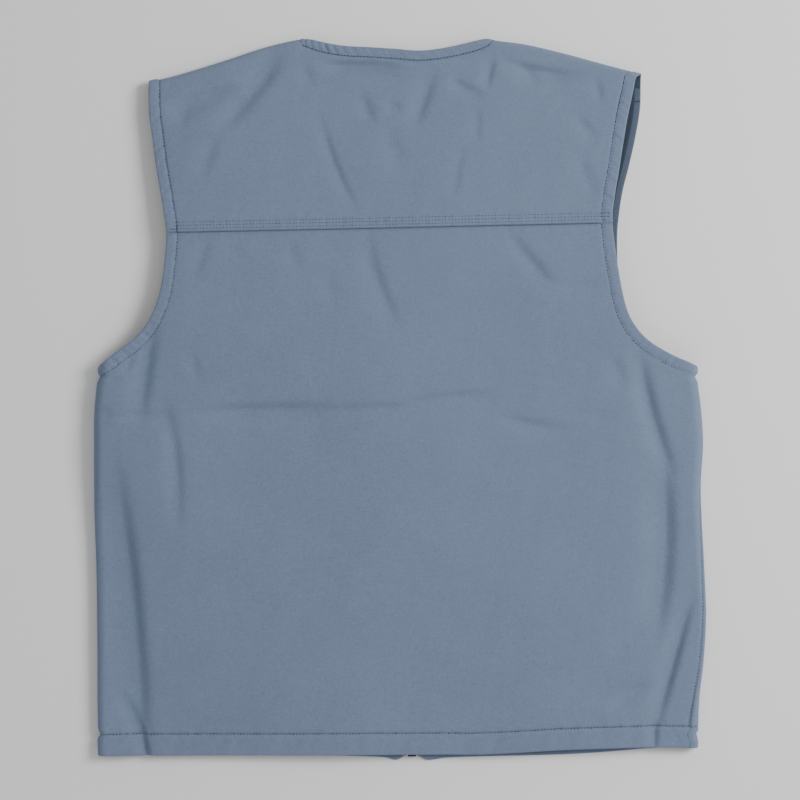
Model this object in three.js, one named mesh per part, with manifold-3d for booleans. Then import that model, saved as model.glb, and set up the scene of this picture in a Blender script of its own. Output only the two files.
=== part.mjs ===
// A canvas vest lying on its front with its back up, in millimetres with +Z up.
// The hem is at -Y, the shoulders are at +Y and the front rests flat on Z = 0.
import * as THREE from "three";
import Module from "manifold-3d";
import { mergeVertices } from "three/addons/utils/BufferGeometryUtils.js";

// Cloth
const cloth = 1.6; // one layer of canvas
const doubled = 2.6; // canvas turned double, at a hem or a binding
const seam_gap = 0.3; // kept between pieces that are sewn together

// Lengths down the vest
const side_length = 372; // back hem to armpit
const armhole_depth = 272; // armpit to shoulder point
const shoulder_drop = 40; // shoulder point to neck point
const front_hem_show = 5; // the front hem's lowest point below the back hem
const yoke_wrap = 27; // from the shoulder fold down the front to the yoke's front seam
const yoke_lap = 12; // how far the yoke lies over the back's top edge

// Widths from the centre line
const half_chest = 290;
const shoulder_left = 239.5;
const shoulder_right = 230.5;
const back_narrow_left = 222; // the back between the armholes, where it is narrowest
const back_narrow_right = 202;
const front_narrow = 208;

// Neck
const neck_shift = -4.3; // the neck's centre, left of the centre line
const neck_at_fold = 88; // half the neck seam's width where the shoulder folds begin
const neck_widest = 112; // half the neck seam's width at the yoke's front seam
const back_neck_depth = 14;
const front_neck_depth = 88; // yoke's front seam to the bottom of the front neck seam
const binding_width = 9.2;

// Turned edges
const hem_height = 20.5;
const hem_wave = 9; // rise of the hem line at the right
const armhole_hem_width = 10.5;

// How the cloth lies
const chest_lift = 20; // middle of the back's wall above the surface at the chest
const middle_sag = 0.15; // share of the lift that the middle sinks
const neck_droop = 2; // how far the cloth sinks behind the neck
const fold_depth = 3;
const fold_width = 15;

// Zip
const zip_opening = 10.6; // between the front edges
const zip_at_hem = 11.5; // centre of the zip at the hem, right of the centre line
const tape_width = 12;
const tape_wall = 0.8;
const teeth_width = 5.6;
const teeth_height = 2.2;
const slider_width = 8.4;
const slider_length = 11;
const slider_plate = 1;
const pull_length = 28;
const pull_width = 5;
const box_width = 8;
const box_length = 11;
const box_height = 4.6;
const box_below_hem = 1; // the zip's bottom end below the front hem beside it

// Places worked out from the sizes
const low_middle = doubled / 2; // middle of the wall of the layer that rests on the surface
const back_length = side_length + armhole_depth + shoulder_drop;
const y_top = (back_length + front_hem_show) / 2;
const y_shoulder = y_top - shoulder_drop;
const y_armpit = y_shoulder - armhole_depth;
const y_hem = y_armpit - side_length;
const half_gap = seam_gap / 2;

// Grid steps
const edge_columns = 6;
const edge_zone = 12;
const middle_columns = 16;
const side_rows = 13;
const armhole_steps = 14; // rows in each armhole table
const yoke_steps = 8; // steps up the armhole to the yoke seam
const front_seam_steps = 13; // steps up the armhole to the yoke's front seam
const fold_steps = 6;
const neck_columns = 10;
const shoulder_columns = edge_columns + (middle_columns - neck_columns) / 2;
const front_columns = 4;
const zip_crowding = 1.5; // a front's rows above the armpit lie closer together low on the zip
const zip_corner = [0, 0.035, 0.08, 0.16]; // close columns beside the zip, as shares of a front's width
const ellipse_steps = 6;
const near = 0.05; // step for a slope
const near_step = 0.25; // the same along an armhole table
const fine_steps = 0.02; // step of a search along an armhole

// The side folds as shares of half_chest, by share of side_length above the hem
const side_edges = [
  { up: 0.0, left: 0.993, right: 0.979 },
  { up: 0.15, left: 0.996, right: 0.986 },
  { up: 0.24, left: 0.996, right: 0.999 },
  { up: 0.36, left: 0.997, right: 1.006 },
  { up: 0.48, left: 0.999, right: 0.999 },
  { up: 0.62, left: 1.005, right: 0.989 },
  { up: 0.7, left: 1.006, right: 0.987 },
  { up: 0.8, left: 1.006, right: 0.995 },
  { up: 0.88, left: 1.005, right: 0.99 },
  { up: 0.95, left: 0.997, right: 0.98 },
  { up: 1.0, left: 0.989, right: 0.976 },
];

// Where the side seam lies on the fold: 0 is its top and 1 its underside
const side_seams = [
  { up: 0.0, left: 0.66, right: -0.16 },
  { up: 0.08, left: 0.67, right: -0.13 },
  { up: 0.17, left: 0.68, right: 0.07 },
  { up: 0.3, left: 0.7, right: 0.18 },
  { up: 0.5, left: 0.7, right: 0.3 },
  { up: 0.7, left: 0.68, right: 0.42 },
  { up: 1.0, left: 0.5, right: 0.5 },
];

// Armhole edges from the armpit to the shoulder: up is a share of the armhole's span,
// shoulder and armpit are shares of the way out from the narrowest place
const armhole_back_left = [
  { step: 0, up: 0.0, shoulder: 0, armpit: 1.0 },
  { step: 1, up: 0.018, shoulder: 0, armpit: 0.9 },
  { step: 2, up: 0.05, shoulder: 0, armpit: 0.74 },
  { step: 3, up: 0.087, shoulder: 0, armpit: 0.53 },
  { step: 4, up: 0.135, shoulder: 0, armpit: 0.335 },
  { step: 5, up: 0.19, shoulder: 0, armpit: 0.2 },
  { step: 6, up: 0.27, shoulder: 0, armpit: 0.09 },
  { step: 7, up: 0.37, shoulder: 0, armpit: 0.03 },
  { step: 8, up: 0.477, shoulder: 0, armpit: 0.0 },
  { step: 9, up: 0.56, shoulder: 0.17, armpit: 0 },
  { step: 10, up: 0.645, shoulder: 0.39, armpit: 0 },
  { step: 11, up: 0.73, shoulder: 0.61, armpit: 0 },
  { step: 12, up: 0.815, shoulder: 0.78, armpit: 0 },
  { step: 13, up: 0.91, shoulder: 0.97, armpit: 0 },
  { step: 14, up: 1.0, shoulder: 1.0, armpit: 0 },
];
const armhole_back_right = [
  { step: 0, up: 0.0, shoulder: 0, armpit: 1.0 },
  { step: 1, up: 0.0137, shoulder: 0, armpit: 0.9 },
  { step: 2, up: 0.0293, shoulder: 0, armpit: 0.77 },
  { step: 3, up: 0.0517, shoulder: 0, armpit: 0.62 },
  { step: 4, up: 0.085, shoulder: 0, armpit: 0.44 },
  { step: 5, up: 0.13, shoulder: 0, armpit: 0.29 },
  { step: 6, up: 0.2, shoulder: 0, armpit: 0.165 },
  { step: 7, up: 0.332, shoulder: 0, armpit: 0.07 },
  { step: 8, up: 0.5, shoulder: 0, armpit: 0.0 },
  { step: 9, up: 0.595, shoulder: 0.08, armpit: 0 },
  { step: 10, up: 0.677, shoulder: 0.214, armpit: 0 },
  { step: 11, up: 0.766, shoulder: 0.347, armpit: 0 },
  { step: 12, up: 0.863, shoulder: 0.5, armpit: 0 },
  { step: 13, up: 0.94, shoulder: 0.66, armpit: 0 },
  { step: 14, up: 1.0, shoulder: 1.0, armpit: 0 },
];
const armhole_front = [
  { step: 0, up: 0.0, shoulder: 0, armpit: 1.0 },
  { step: 1, up: 0.014, shoulder: 0, armpit: 0.9 },
  { step: 2, up: 0.028, shoulder: 0, armpit: 0.76 },
  { step: 3, up: 0.047, shoulder: 0, armpit: 0.6 },
  { step: 4, up: 0.078, shoulder: 0, armpit: 0.42 },
  { step: 5, up: 0.12, shoulder: 0, armpit: 0.26 },
  { step: 6, up: 0.19, shoulder: 0, armpit: 0.12 },
  { step: 7, up: 0.31, shoulder: 0, armpit: 0.02 },
  { step: 8, up: 0.45, shoulder: 0, armpit: 0.0 },
  { step: 9, up: 0.54, shoulder: 0.09, armpit: 0 },
  { step: 10, up: 0.62, shoulder: 0.245, armpit: 0 },
  { step: 11, up: 0.7, shoulder: 0.49, armpit: 0 },
  { step: 12, up: 0.8, shoulder: 0.76, armpit: 0 },
  { step: 13, up: 0.905, shoulder: 0.97, armpit: 0 },
  { step: 14, up: 1.0, shoulder: 1.0, armpit: 0 },
];

// The shoulder folds: drop as a share of shoulder_drop, out from the neck point to the shoulder point
const shoulder_line = [
  { out: 0.0, left: 0.0, right: 0.0 },
  { out: 0.08, left: 0.045, right: 0.043 },
  { out: 0.25, left: 0.2, right: 0.13 },
  { out: 0.5, left: 0.505, right: 0.345 },
  { out: 0.75, left: 0.79, right: 0.595 },
  { out: 0.9, left: 0.94, right: 0.74 },
  { out: 1.0, left: 1.0, right: 0.83 },
];

// The back neck seam: down as a share of back_neck_depth, across as a share of neck_at_fold
const back_neck_line = [
  { across: -1.0, down: 0.0 },
  { across: -0.8, down: 0.42 },
  { across: -0.55, down: 0.68 },
  { across: -0.25, down: 0.78 },
  { across: 0.0, down: 0.88 },
  { across: 0.25, down: 1.0 },
  { across: 0.5, down: 0.86 },
  { across: 0.75, down: 0.55 },
  { across: 0.9, down: 0.28 },
  { across: 1.0, down: 0.0 },
];

// The hem lines as shares of hem_wave for the back, and of front_hem_show below it for the front
const hem_lines = [
  { across: -1.0, rise: 0.0, show: 0.0 },
  { across: -0.7, rise: 0.05, show: 0.0 },
  { across: -0.3, rise: 0.1, show: 0.3 },
  { across: -0.1, rise: 0.12, show: 0.6 },
  { across: -0.045, rise: 0.12, show: 0.8 },
  { across: -0.01, rise: 0.12, show: 1.2 },
  { across: 0.022, rise: 0.12, show: 0.35 },
  { across: 0.058, rise: 0.12, show: 0.45 },
  { across: 0.09, rise: 0.12, show: 1.22 },
  { across: 0.15, rise: 0.13, show: 0.85 },
  { across: 0.28, rise: 0.15, show: 0.6 },
  { across: 0.52, rise: 0.62, show: 1.1 },
  { across: 0.66, rise: 0.8, show: 1.0 },
  { across: 0.85, rise: 0.93, show: 0.35 },
  { across: 1.0, rise: 0.84, show: 0.0 },
];

// Lift of the back's wall as a share of chest_lift, by share of back_length above the hem
const lifts = [
  { up: 0.0, lift: 0.62 },
  { up: 0.05, lift: 0.66 },
  { up: 0.25, lift: 0.8 },
  { up: 0.45, lift: 0.95 },
  { up: 0.6, lift: 1.0 },
  { up: 0.75, lift: 0.9 },
  { up: 0.9, lift: 0.7 },
  { up: 1.0, lift: 0.62 },
];

// Folds of the back as straight runs: places are shares of half_chest and back_length,
// wide and deep are shares of fold_width and fold_depth, and a ridge has deep below 0
const folds = [
  { x0: -0.92, y0: 0.385, x1: -0.82, y1: 0.03, wide: 0.9, deep: 0.9 },
  { x0: -0.86, y0: 0.36, x1: -0.76, y1: 0.03, wide: 1.0, deep: -0.5 },
  { x0: -0.79, y0: 0.579, x1: -0.83, y1: 0.475, wide: 0.9, deep: 0.7 },
  { x0: -0.75, y0: 0.468, x1: -0.7, y1: 0.343, wide: 1.0, deep: 0.5 },
  { x0: -0.74, y0: 0.475, x1: 0.08, y1: 0.496, wide: 1.1, deep: 0.6 },
  { x0: 0.1, y0: 0.496, x1: 0.56, y1: 0.46, wide: 1.2, deep: 0.4 },
  { x0: 0.82, y0: 0.524, x1: 0.92, y1: 0.419, wide: 0.9, deep: 0.6 },
  { x0: 0.86, y0: 0.385, x1: 0.85, y1: 0.183, wide: 1.0, deep: 0.5 },
  { x0: 0.95, y0: 0.169, x1: 0.86, y1: 0.03, wide: 0.9, deep: 0.7 },
  { x0: 0.8, y0: 0.09, x1: 0.5, y1: 0.05, wide: 1.0, deep: 0.5 },
  { x0: -0.08, y0: 0.7, x1: -0.02, y1: 0.642, wide: 1.0, deep: 0.5 },
  { x0: 0.34, y0: 0.71, x1: 0.62, y1: 0.651, wide: 1.0, deep: 0.5 },
  { x0: -0.25, y0: 0.885, x1: -0.11, y1: 0.76, wide: 1.0, deep: 0.5 },
  { x0: -0.39, y0: 0.955, x1: -0.62, y1: 0.85, wide: 1.1, deep: 0.5 },
  { x0: -0.24, y0: 0.945, x1: -0.03, y1: 0.943, wide: 0.7, deep: 0.5 },
  { x0: 0.38, y0: 0.955, x1: 0.52, y1: 0.925, wide: 0.9, deep: 0.4 },
];

// Canvas, zip tape and the zip's black parts
const canvas = new THREE.MeshStandardMaterial({ color: "#758397", roughness: 0.95, metalness: 0 });
const tape_cloth = new THREE.MeshStandardMaterial({ color: "#5c6674", roughness: 0.9, metalness: 0 });
const zip_black = new THREE.MeshStandardMaterial({ color: "#15161a", roughness: 0.5, metalness: 0.2 });

const lerp = THREE.MathUtils.lerp;
const clamp = THREE.MathUtils.clamp;

// Reads a column of a table at a place along its key column, smoothly from row to row.
function read(table, key, column, place) {
  const last = table.length - 1;
  let i = 0;
  while (i < last - 1 && place > table[i + 1][key]) i += 1;
  const slope = (k) => {
    const below = table[Math.max(k - 1, 0)];
    const above = table[Math.min(k + 1, last)];
    return (above[column] - below[column]) / (above[key] - below[key]);
  };
  const span = table[i + 1][key] - table[i][key];
  const t = clamp((place - table[i][key]) / span, 0, 1);
  const rise = t * t * (3 - 2 * t);
  const value = table[i][column] * (1 - rise) + table[i + 1][column] * rise;
  return value + span * (slope(i) * t * (1 - t) * (1 - t) - slope(i + 1) * t * t * (1 - t));
}

// Half of the vest's width at a height, out to the side fold. Side is -1 on the left.
function sideEdge(side, y) {
  const up = clamp((y - y_hem) / side_length, 0, 1);
  return half_chest * read(side_edges, "up", side < 0 ? "left" : "right", up);
}

// Height of the middle of the back's wall, without its folds.
function edgeHeight(y) {
  return chest_lift * read(lifts, "up", "lift", clamp((y - y_hem) / back_length, 0, 1));
}

// Depth that one fold adds at a place.
function foldAt(fold, x, y) {
  const from = new THREE.Vector2(fold.x0 * half_chest, y_hem + fold.y0 * back_length);
  const run = new THREE.Vector2(fold.x1 * half_chest, y_hem + fold.y1 * back_length).sub(from);
  const place = new THREE.Vector2(x, y).sub(from);
  const t = clamp(place.dot(run) / run.lengthSq(), 0, 1);
  const away = place.addScaledVector(run, -t).length() / (fold.wide * fold_width);
  return fold.deep * fold_depth * Math.exp((-away * away) / 2);
}

// Height of the middle of the back's wall at a place.
function backHeight(x, y) {
  const across = Math.min(1, Math.abs(x) / half_chest);
  const sag = middle_sag * (1 - across * across) ** 2;
  const beside_neck = (x - neck_shift) / neck_at_fold;
  const below_neck = (y_top - y) / shoulder_drop;
  const near_neck = Math.exp(-2 * beside_neck ** 2 - below_neck ** 2);
  const dents = folds.reduce((sum, fold) => sum + foldAt(fold, x, y), 0);
  return edgeHeight(y) * (1 - sag) - neck_droop * near_neck - dents;
}

// The side fold at a height: its radius and where the flat cloth ends.
function sideFold(side, y) {
  const radius = (edgeHeight(y) - low_middle) / 2;
  return { radius, flat: sideEdge(side, y) - radius - cloth / 2 };
}

// A point of a layer by its reach, the distance from the centre line measured along the cloth.
function roundSide(side, layer, reach, y) {
  const { radius, flat } = sideFold(side, y);
  const turn = Math.max(0, reach - flat) / radius;
  if (layer === "front" && turn > Math.PI / 2) {
    return roundSide(side, "back", flat + (Math.PI - turn) * radius, y);
  }
  const start = side * Math.min(reach, flat);
  const x = start + side * radius * Math.sin(turn);
  const middle = low_middle + radius;
  if (layer === "front") return new THREE.Vector3(x, y, middle - radius * Math.cos(turn));
  const dent = turn < Math.PI / 2 ? backHeight(start, y) - edgeHeight(y) : 0;
  return new THREE.Vector3(x, y, middle + (radius + dent) * Math.cos(turn));
}

// Reach of the side seam from the centre line, on one layer.
function seamReach(side, layer, y) {
  const { radius, flat } = sideFold(side, y);
  const up = clamp((y - y_hem) / side_length, 0, 1);
  const turn = read(side_seams, "up", side < 0 ? "left" : "right", up);
  return flat + Math.PI * radius * (layer === "back" ? turn : 1 - turn) - half_gap;
}

// Top edge line of the folded shoulders.
function shoulderCrest(x) {
  const shoulder = x < neck_shift ? shoulder_left + neck_shift : shoulder_right - neck_shift;
  const out = (Math.abs(x - neck_shift) - neck_at_fold) / (shoulder - neck_at_fold);
  return y_top - shoulder_drop * read(shoulder_line, "out", x < neck_shift ? "left" : "right", clamp(out, 0, 1));
}

// The shoulder fold at a place: its radius, where the flat cloth ends, and a quarter turn's length.
function shoulderFold(x) {
  const crest = shoulderCrest(x);
  const radius = (edgeHeight(crest) - low_middle) / 2;
  return { radius, start: crest - radius - cloth / 2, quarter: (Math.PI * radius) / 2 };
}

// A point of the cloth by its run over the shoulder from the crest, below 0 on the back.
function overShoulder(x, run) {
  const { radius, start, quarter } = shoulderFold(x);
  if (run < -quarter) {
    const y = start + run + quarter;
    return new THREE.Vector3(x, y, backHeight(x, y));
  }
  if (run > quarter) return new THREE.Vector3(x, start - (run - quarter), low_middle);
  const angle = run / radius;
  const middle = low_middle + radius;
  const dent = (backHeight(x, start) - middle - radius) * Math.max(0, -Math.sin(angle));
  return new THREE.Vector3(x, start + radius * Math.cos(angle), middle - radius * Math.sin(angle) + dent);
}

// The run at a place that answers to a run at the neck's centre.
function runAt(x, run) {
  const { quarter } = shoulderFold(neck_shift);
  const turned = clamp(run, -quarter, quarter);
  return (turned / quarter) * shoulderFold(x).quarter + run - turned;
}

// Hem line of a layer.
function hemLine(layer, x) {
  const across = clamp(x / half_chest, -1, 1);
  const back = y_hem + hem_wave * read(hem_lines, "across", "rise", across);
  if (layer === "back") return back;
  return back - front_hem_show * read(hem_lines, "across", "show", across);
}

// The neck seam between the shoulder fold and the yoke's front seam: distance from the neck's centre.
function neckSide(run) {
  const { quarter } = shoulderFold(neck_shift);
  const left_to_go = (quarter + yoke_wrap - run) / (2 * quarter + yoke_wrap);
  return neck_widest - (neck_widest - neck_at_fold) * left_to_go ** 2;
}

// Centre of the zip at a height, from the hem to the bottom of the front neck seam.
const y_neck_bottom = shoulderFold(neck_shift).start - yoke_wrap - front_neck_depth;
function zipCentre(y) {
  return lerp(zip_at_hem, neck_shift, (y - y_hem) / (y_neck_bottom - y_hem));
}

// A place on a surface that two numbers run over: its point, and the normal that faces out of the vest.
function placeOn(surface, u, v) {
  const point = surface(u, v);
  const across = surface(u + near, v).sub(surface(u - near, v));
  const along = surface(u, v + near).sub(surface(u, v - near));
  const normal = across.cross(along).normalize();
  const side = point.x < 0 ? -1 : 1;
  const flat_x = side * Math.min(Math.abs(point.x), sideFold(side, point.y).flat);
  const flat_y = Math.min(point.y, shoulderFold(point.x).start);
  const core = new THREE.Vector3(flat_x, flat_y, (low_middle + edgeHeight(flat_y)) / 2);
  if (normal.dot(core.sub(point)) > 0) normal.negate();
  return { point, normal };
}

const sidePlace = (side, layer, reach, y) => placeOn((u, v) => roundSide(side, layer, u, v), reach, y);
const shoulderPlace = (x, run) => placeOn((u, v) => overShoulder(u, runAt(u, v)), x, run);

// A cloth sheet: a grid of places on the middle of its wall, closed all round.
// Keep says which cells are cloth. Ring joins the last row to the first.
function sheet(name, grid, wall, keep = () => true, ring = false) {
  const rows = grid.length;
  const columns = grid[0].length;
  const positions = [];
  grid.flat().forEach(({ point, normal }) => {
    positions.push(point.clone().addScaledVector(normal, wall / 2));
    positions.push(point.clone().addScaledVector(normal, -wall / 2));
  });
  const corner = (j, i, face) => (j * columns + i) * 2 + face;
  const cells = ring ? rows : rows - 1;
  const inside = (j, i) => (ring || (j >= 0 && j < cells)) && i >= 0 && i < columns - 1;
  const used = (j, i) => inside(j, i) && keep(j, i);
  const faces = [];
  const quad = (a, b, c, d) => faces.push(a, b, c, a, c, d);
  for (let j = 0; j < cells; j += 1) {
    for (let i = 0; i < columns - 1; i += 1) {
      if (!used(j, i)) continue;
      const next = (j + 1) % rows;
      const loop = [[j, i], [j, i + 1], [next, i + 1], [next, i]];
      const [a, b, c, d] = loop;
      quad(corner(...a, 0), corner(...b, 0), corner(...c, 0), corner(...d, 0));
      quad(corner(...a, 1), corner(...d, 1), corner(...c, 1), corner(...b, 1));
      const beyond = [used(j - 1, i), used(j, i + 1), used(j + 1, i), used(j, i - 1)];
      beyond.forEach((neighbour, side) => {
        if (neighbour) return;
        const from = loop[side];
        const to = loop[(side + 1) % 4];
        quad(corner(...from, 1), corner(...to, 1), corner(...to, 0), corner(...from, 0));
      });
    }
  }
  return solid(name, positions, faces);
}

// A named mesh of points and faces, with its faces turned outwards.
function solid(name, positions, faces) {
  const part = (k) => positions[faces[k]];
  let volume = 0;
  for (let k = 0; k < faces.length; k += 3) volume += part(k).dot(part(k + 1).clone().cross(part(k + 2)));
  if (volume < 0) faces.reverse();
  const geometry = new THREE.BufferGeometry().setFromPoints(positions);
  geometry.setIndex(faces);
  geometry.computeVertexNormals();
  const mesh = new THREE.Mesh(geometry, canvas);
  mesh.name = name;
  return mesh;
}

// Width of the close columns at an edge: the cloth's turn round the side, or a few steps on the flat.
function closeZone(side, reach, y) {
  return clamp(reach - sideFold(side, y).flat, edge_zone, 2 * edge_zone);
}

const shares = (parts) => Array.from({ length: parts + 1 }, (_, k) => k / parts);
const steps_between = (from, to, parts) => shares(parts).map((share) => lerp(from, to, share));

// An armhole edge on one layer: reach from the centre line and height, by step from the armpit.
function armholeEdge(side, layer, step) {
  const back_table = side < 0 ? armhole_back_left : armhole_back_right;
  const table = layer === "back" ? back_table : armhole_front;
  const back_narrow = side < 0 ? back_narrow_left : back_narrow_right;
  const narrow = layer === "back" ? back_narrow : front_narrow;
  const shoulder = side < 0 ? shoulder_left : shoulder_right;
  const span = shoulderFold(side * shoulder).start - y_armpit;
  const y = y_armpit + span * read(table, "step", "up", step);
  const { radius, flat } = sideFold(side, y);
  const armpit = sideFold(side, y_armpit);
  const from_shoulder = (shoulder - narrow) * read(table, "step", "shoulder", step);
  const from_armpit = (armpit.flat + armpit.radius - narrow) * read(table, "step", "armpit", step);
  const out = narrow + from_shoulder + from_armpit;
  const reach = out <= flat ? out : flat + radius * Math.asin(Math.min(1, (out - flat) / radius));
  return new THREE.Vector2(reach, y);
}

// The armhole's edge or its stitch line, set in from the edge by a width.
function armholeLine(side, layer, step, width) {
  const edge = armholeEdge(side, layer, step);
  if (step === 0) {
    const y = edge.y - width;
    return new THREE.Vector2(seamReach(side, "back", y) + half_gap, y);
  }
  const before = armholeEdge(side, layer, Math.max(step - near_step, 0));
  const along = armholeEdge(side, layer, Math.min(step + near_step, armhole_steps)).sub(before).normalize();
  if (step === armhole_steps) along.set(0, 1);
  return new THREE.Vector2(edge.x - along.y * width, edge.y + along.x * width);
}

// Stations along the armholes.
const lower_steps = [0, 0.1, 0.3, 0.6, 1, 1.7, 2.5, 3.5, 4.7, 6.2, yoke_steps];
const upper_steps = steps_between(yoke_steps + 1, armhole_steps, 5);
const front_steps = [...lower_steps, ...steps_between(yoke_steps, front_seam_steps, 5).slice(1)];
const panel_inset = armhole_hem_width + half_gap;

// Edge points of a body panel from the hem's stitch line up its side seam and armhole.
function panelEdge(side, layer, steps) {
  const bottom = hemLine(layer, side * half_chest) + hem_height + half_gap;
  const top = y_armpit - panel_inset;
  const list = [];
  for (let j = 0; j < side_rows; j += 1) {
    const y = lerp(bottom, top, j / side_rows);
    list.push(new THREE.Vector2(seamReach(side, layer, y), y));
  }
  steps.forEach((step) => list.push(armholeLine(side, layer, step, panel_inset)));
  list[side_rows].x = seamReach(side, layer, top);
  return list;
}

// The step up the back armhole where the yoke's lap over the back ends.
function lapStep(side) {
  const top = armholeLine(side, "back", yoke_steps, panel_inset).y + yoke_lap;
  let step = yoke_steps;
  while (armholeLine(side, "back", step, panel_inset).y < top) step += fine_steps;
  return step;
}

// Height of the yoke's lower edge.
function yokeSeam(x) {
  const left = armholeLine(-1, "back", yoke_steps, panel_inset);
  const right = armholeLine(1, "back", yoke_steps, panel_inset);
  return lerp(left.y, right.y, (x + left.x) / (left.x + right.x));
}

// Reaches across the back from edge to edge, with close steps at both edges.
function backReaches(left, right) {
  const from = closeZone(-1, left.x, left.y) - left.x;
  const to = right.x - closeZone(1, right.x, right.y);
  return [
    ...steps_between(-left.x, from, edge_columns),
    ...steps_between(from, to, middle_columns).slice(1, -1),
    ...steps_between(to, right.x, edge_columns),
  ];
}

// A row of the back or of its hem, from edge to edge along the cloth.
function backRow(left, right, height) {
  return backReaches(left, right).map((reach) => {
    const share = (reach + left.x) / (left.x + right.x);
    const y = height(reach, lerp(left.y, right.y, share), share);
    return sidePlace(reach < 0 ? -1 : 1, "back", Math.abs(reach), y);
  });
}

// The back below the yoke: its top edge lies under the yoke's lap.
function backBody() {
  const left = panelEdge(-1, "back", [...lower_steps, lapStep(-1)]);
  const right = panelEdge(1, "back", [...lower_steps, lapStep(1)]);
  const last = left.length - 1;
  const grid = left.map((edge, j) =>
    backRow(edge, right[j], (reach, chord, share) => {
      const bend = hemLine("back", reach) + hem_height + half_gap - lerp(left[0].y, right[0].y, share);
      return chord + bend * (1 - j / last) ** 2;
    }),
  );
  return sheet("back_body", grid, cloth);
}

// How far the yoke stands over the back's top edge.
function yokeRaise(x, y) {
  const past_lap = (y - yokeSeam(x) - yoke_lap) / (2 * yoke_lap);
  return (cloth + seam_gap) * (1 - clamp(past_lap, 0, 1));
}

// The yoke: up the back, over both shoulders and down to its front seams.
function backYoke() {
  const { start, quarter } = shoulderFold(neck_shift);
  const edgeOf = (side) =>
    [yoke_steps, lapStep(side), ...upper_steps].map((step) => armholeLine(side, "back", step, panel_inset));
  const left = edgeOf(-1);
  const right = edgeOf(1);
  const last = left.length - 1;
  const neck_left = neck_shift - neck_at_fold - half_gap;
  const neck_right = neck_shift + neck_at_fold + half_gap;
  const columns = (from, to) => [
    ...steps_between(from, neck_left, shoulder_columns),
    ...steps_between(neck_left, neck_right, neck_columns).slice(1, -1),
    ...steps_between(neck_right, to, shoulder_columns),
  ];
  const topEdge = (x) => {
    const across = (x - neck_shift) / neck_at_fold;
    if (Math.abs(across) >= 1) return shoulderFold(x).start;
    return start - half_gap - back_neck_depth * read(back_neck_line, "across", "down", across);
  };
  const grid = left.map((edge, j) => {
    const on_lap = j < 2;
    const places = on_lap ? backReaches(edge, right[j]) : columns(-edge.x, right[j].x);
    return places.map((x) => {
      const share = (x + edge.x) / (edge.x + right[j].x);
      const left_rise = (edge.y - left[1].y) / (left[last].y - left[1].y);
      const right_rise = (right[j].y - right[1].y) / (right[last].y - right[1].y);
      const lap_top = yokeSeam(x) + yoke_lap;
      const rise = lerp(left_rise, right_rise, share);
      const y = on_lap ? yokeSeam(x) + yoke_lap * j : lerp(lap_top, topEdge(x), rise);
      return placeOn((u, v) => new THREE.Vector3(u, v, backHeight(u, v) + yokeRaise(u, v)), x, y);
    });
  });
  const shoulders = [-left[last].x, right[last].x];
  for (const run of steps_between(-quarter, quarter, fold_steps).slice(1)) {
    const neck = neckSide(run) + seam_gap;
    const row = [
      ...steps_between(shoulders[0], neck_shift - neck, shoulder_columns),
      ...steps_between(neck_left, neck_right, neck_columns).slice(1, -1),
      ...steps_between(neck_shift + neck, shoulders[1], shoulder_columns),
    ];
    grid.push(row.map((x) => shoulderPlace(x, run)));
  }
  for (const down of [0.5, 1]) {
    const step = lerp(armhole_steps, front_seam_steps, down);
    const ends = [-1, 1].map((side) => {
      const outer = armholeLine(side, "front", step, panel_inset);
      const run = quarter + yoke_wrap * down;
      const x = neck_shift + side * (neckSide(run) + half_gap);
      return [new THREE.Vector3(side * outer.x, outer.y, low_middle), overShoulder(x, runAt(x, run))];
    });
    ends.flat().forEach((end) => (end.y += half_gap * down));
    const normal = new THREE.Vector3(0, 0, -1);
    const placed = (point) => ({ point, normal });
    const between = (from, to, parts) => shares(parts).map((t) => placed(from.clone().lerp(to, t)));
    grid.push([
      ...between(ends[0][0], ends[0][1], shoulder_columns),
      ...between(ends[0][1], ends[1][1], neck_columns).slice(1, -1),
      ...between(ends[1][1], ends[1][0], shoulder_columns),
    ]);
  }
  const keep = (j, i) => j < last || i < shoulder_columns || i >= shoulder_columns + neck_columns;
  return sheet("back_yoke", grid, cloth, keep);
}

// A row of a front or of its hem, from the zip out to the side.
function frontRow(side, inner, outer, height) {
  const from = side * inner.x;
  const to = outer.x - closeZone(side, outer.x, outer.y);
  const reaches = [
    ...zip_corner.map((share) => lerp(from, outer.x, share)),
    ...steps_between(lerp(from, outer.x, zip_corner.at(-1)), to, front_columns).slice(1, -1),
    ...steps_between(to, outer.x, edge_columns),
  ];
  return reaches.map((reach) => {
    const share = (reach - side * inner.x) / (outer.x - side * inner.x);
    const y = height(side * reach, lerp(inner.y, outer.y, share));
    return sidePlace(side, "front", reach, y);
  });
}

// A front, from the hem's stitch line up to the yoke's front seam.
function front(side) {
  const outer = panelEdge(side, "front", front_steps);
  const zip_rows = outer.length - 1 - ellipse_steps;
  const neck = neckFront(half_gap).map((place) => {
    const x = neck_shift + side * place.x;
    return overShoulder(x, runAt(x, place.y));
  });
  const grid = outer.map((edge, j) => {
    const inner = new THREE.Vector2();
    if (j <= zip_rows) {
      const stitch_line = hemLine("front", zip_at_hem) + hem_height + half_gap;
      const armpit = outer[side_rows].y;
      const above = (j - side_rows) / (zip_rows - side_rows);
      inner.y = above < 0 ? lerp(stitch_line, armpit, j / side_rows) : lerp(armpit, neck[0].y, above ** zip_crowding);
      inner.x = zipCentre(inner.y) + side * (zip_opening / 2);
    } else {
      inner.copy(neck[j - zip_rows]);
    }
    if (j === outer.length - 1) {
      edge.y -= half_gap;
      inner.y -= half_gap;
    }
    return frontRow(side, inner, edge, (x, chord) => {
      if (j === 0) return hemLine("front", x) + hem_height + half_gap;
      return chord;
    });
  });
  return sheet(side < 0 ? "front_left" : "front_right", grid, cloth);
}

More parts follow.
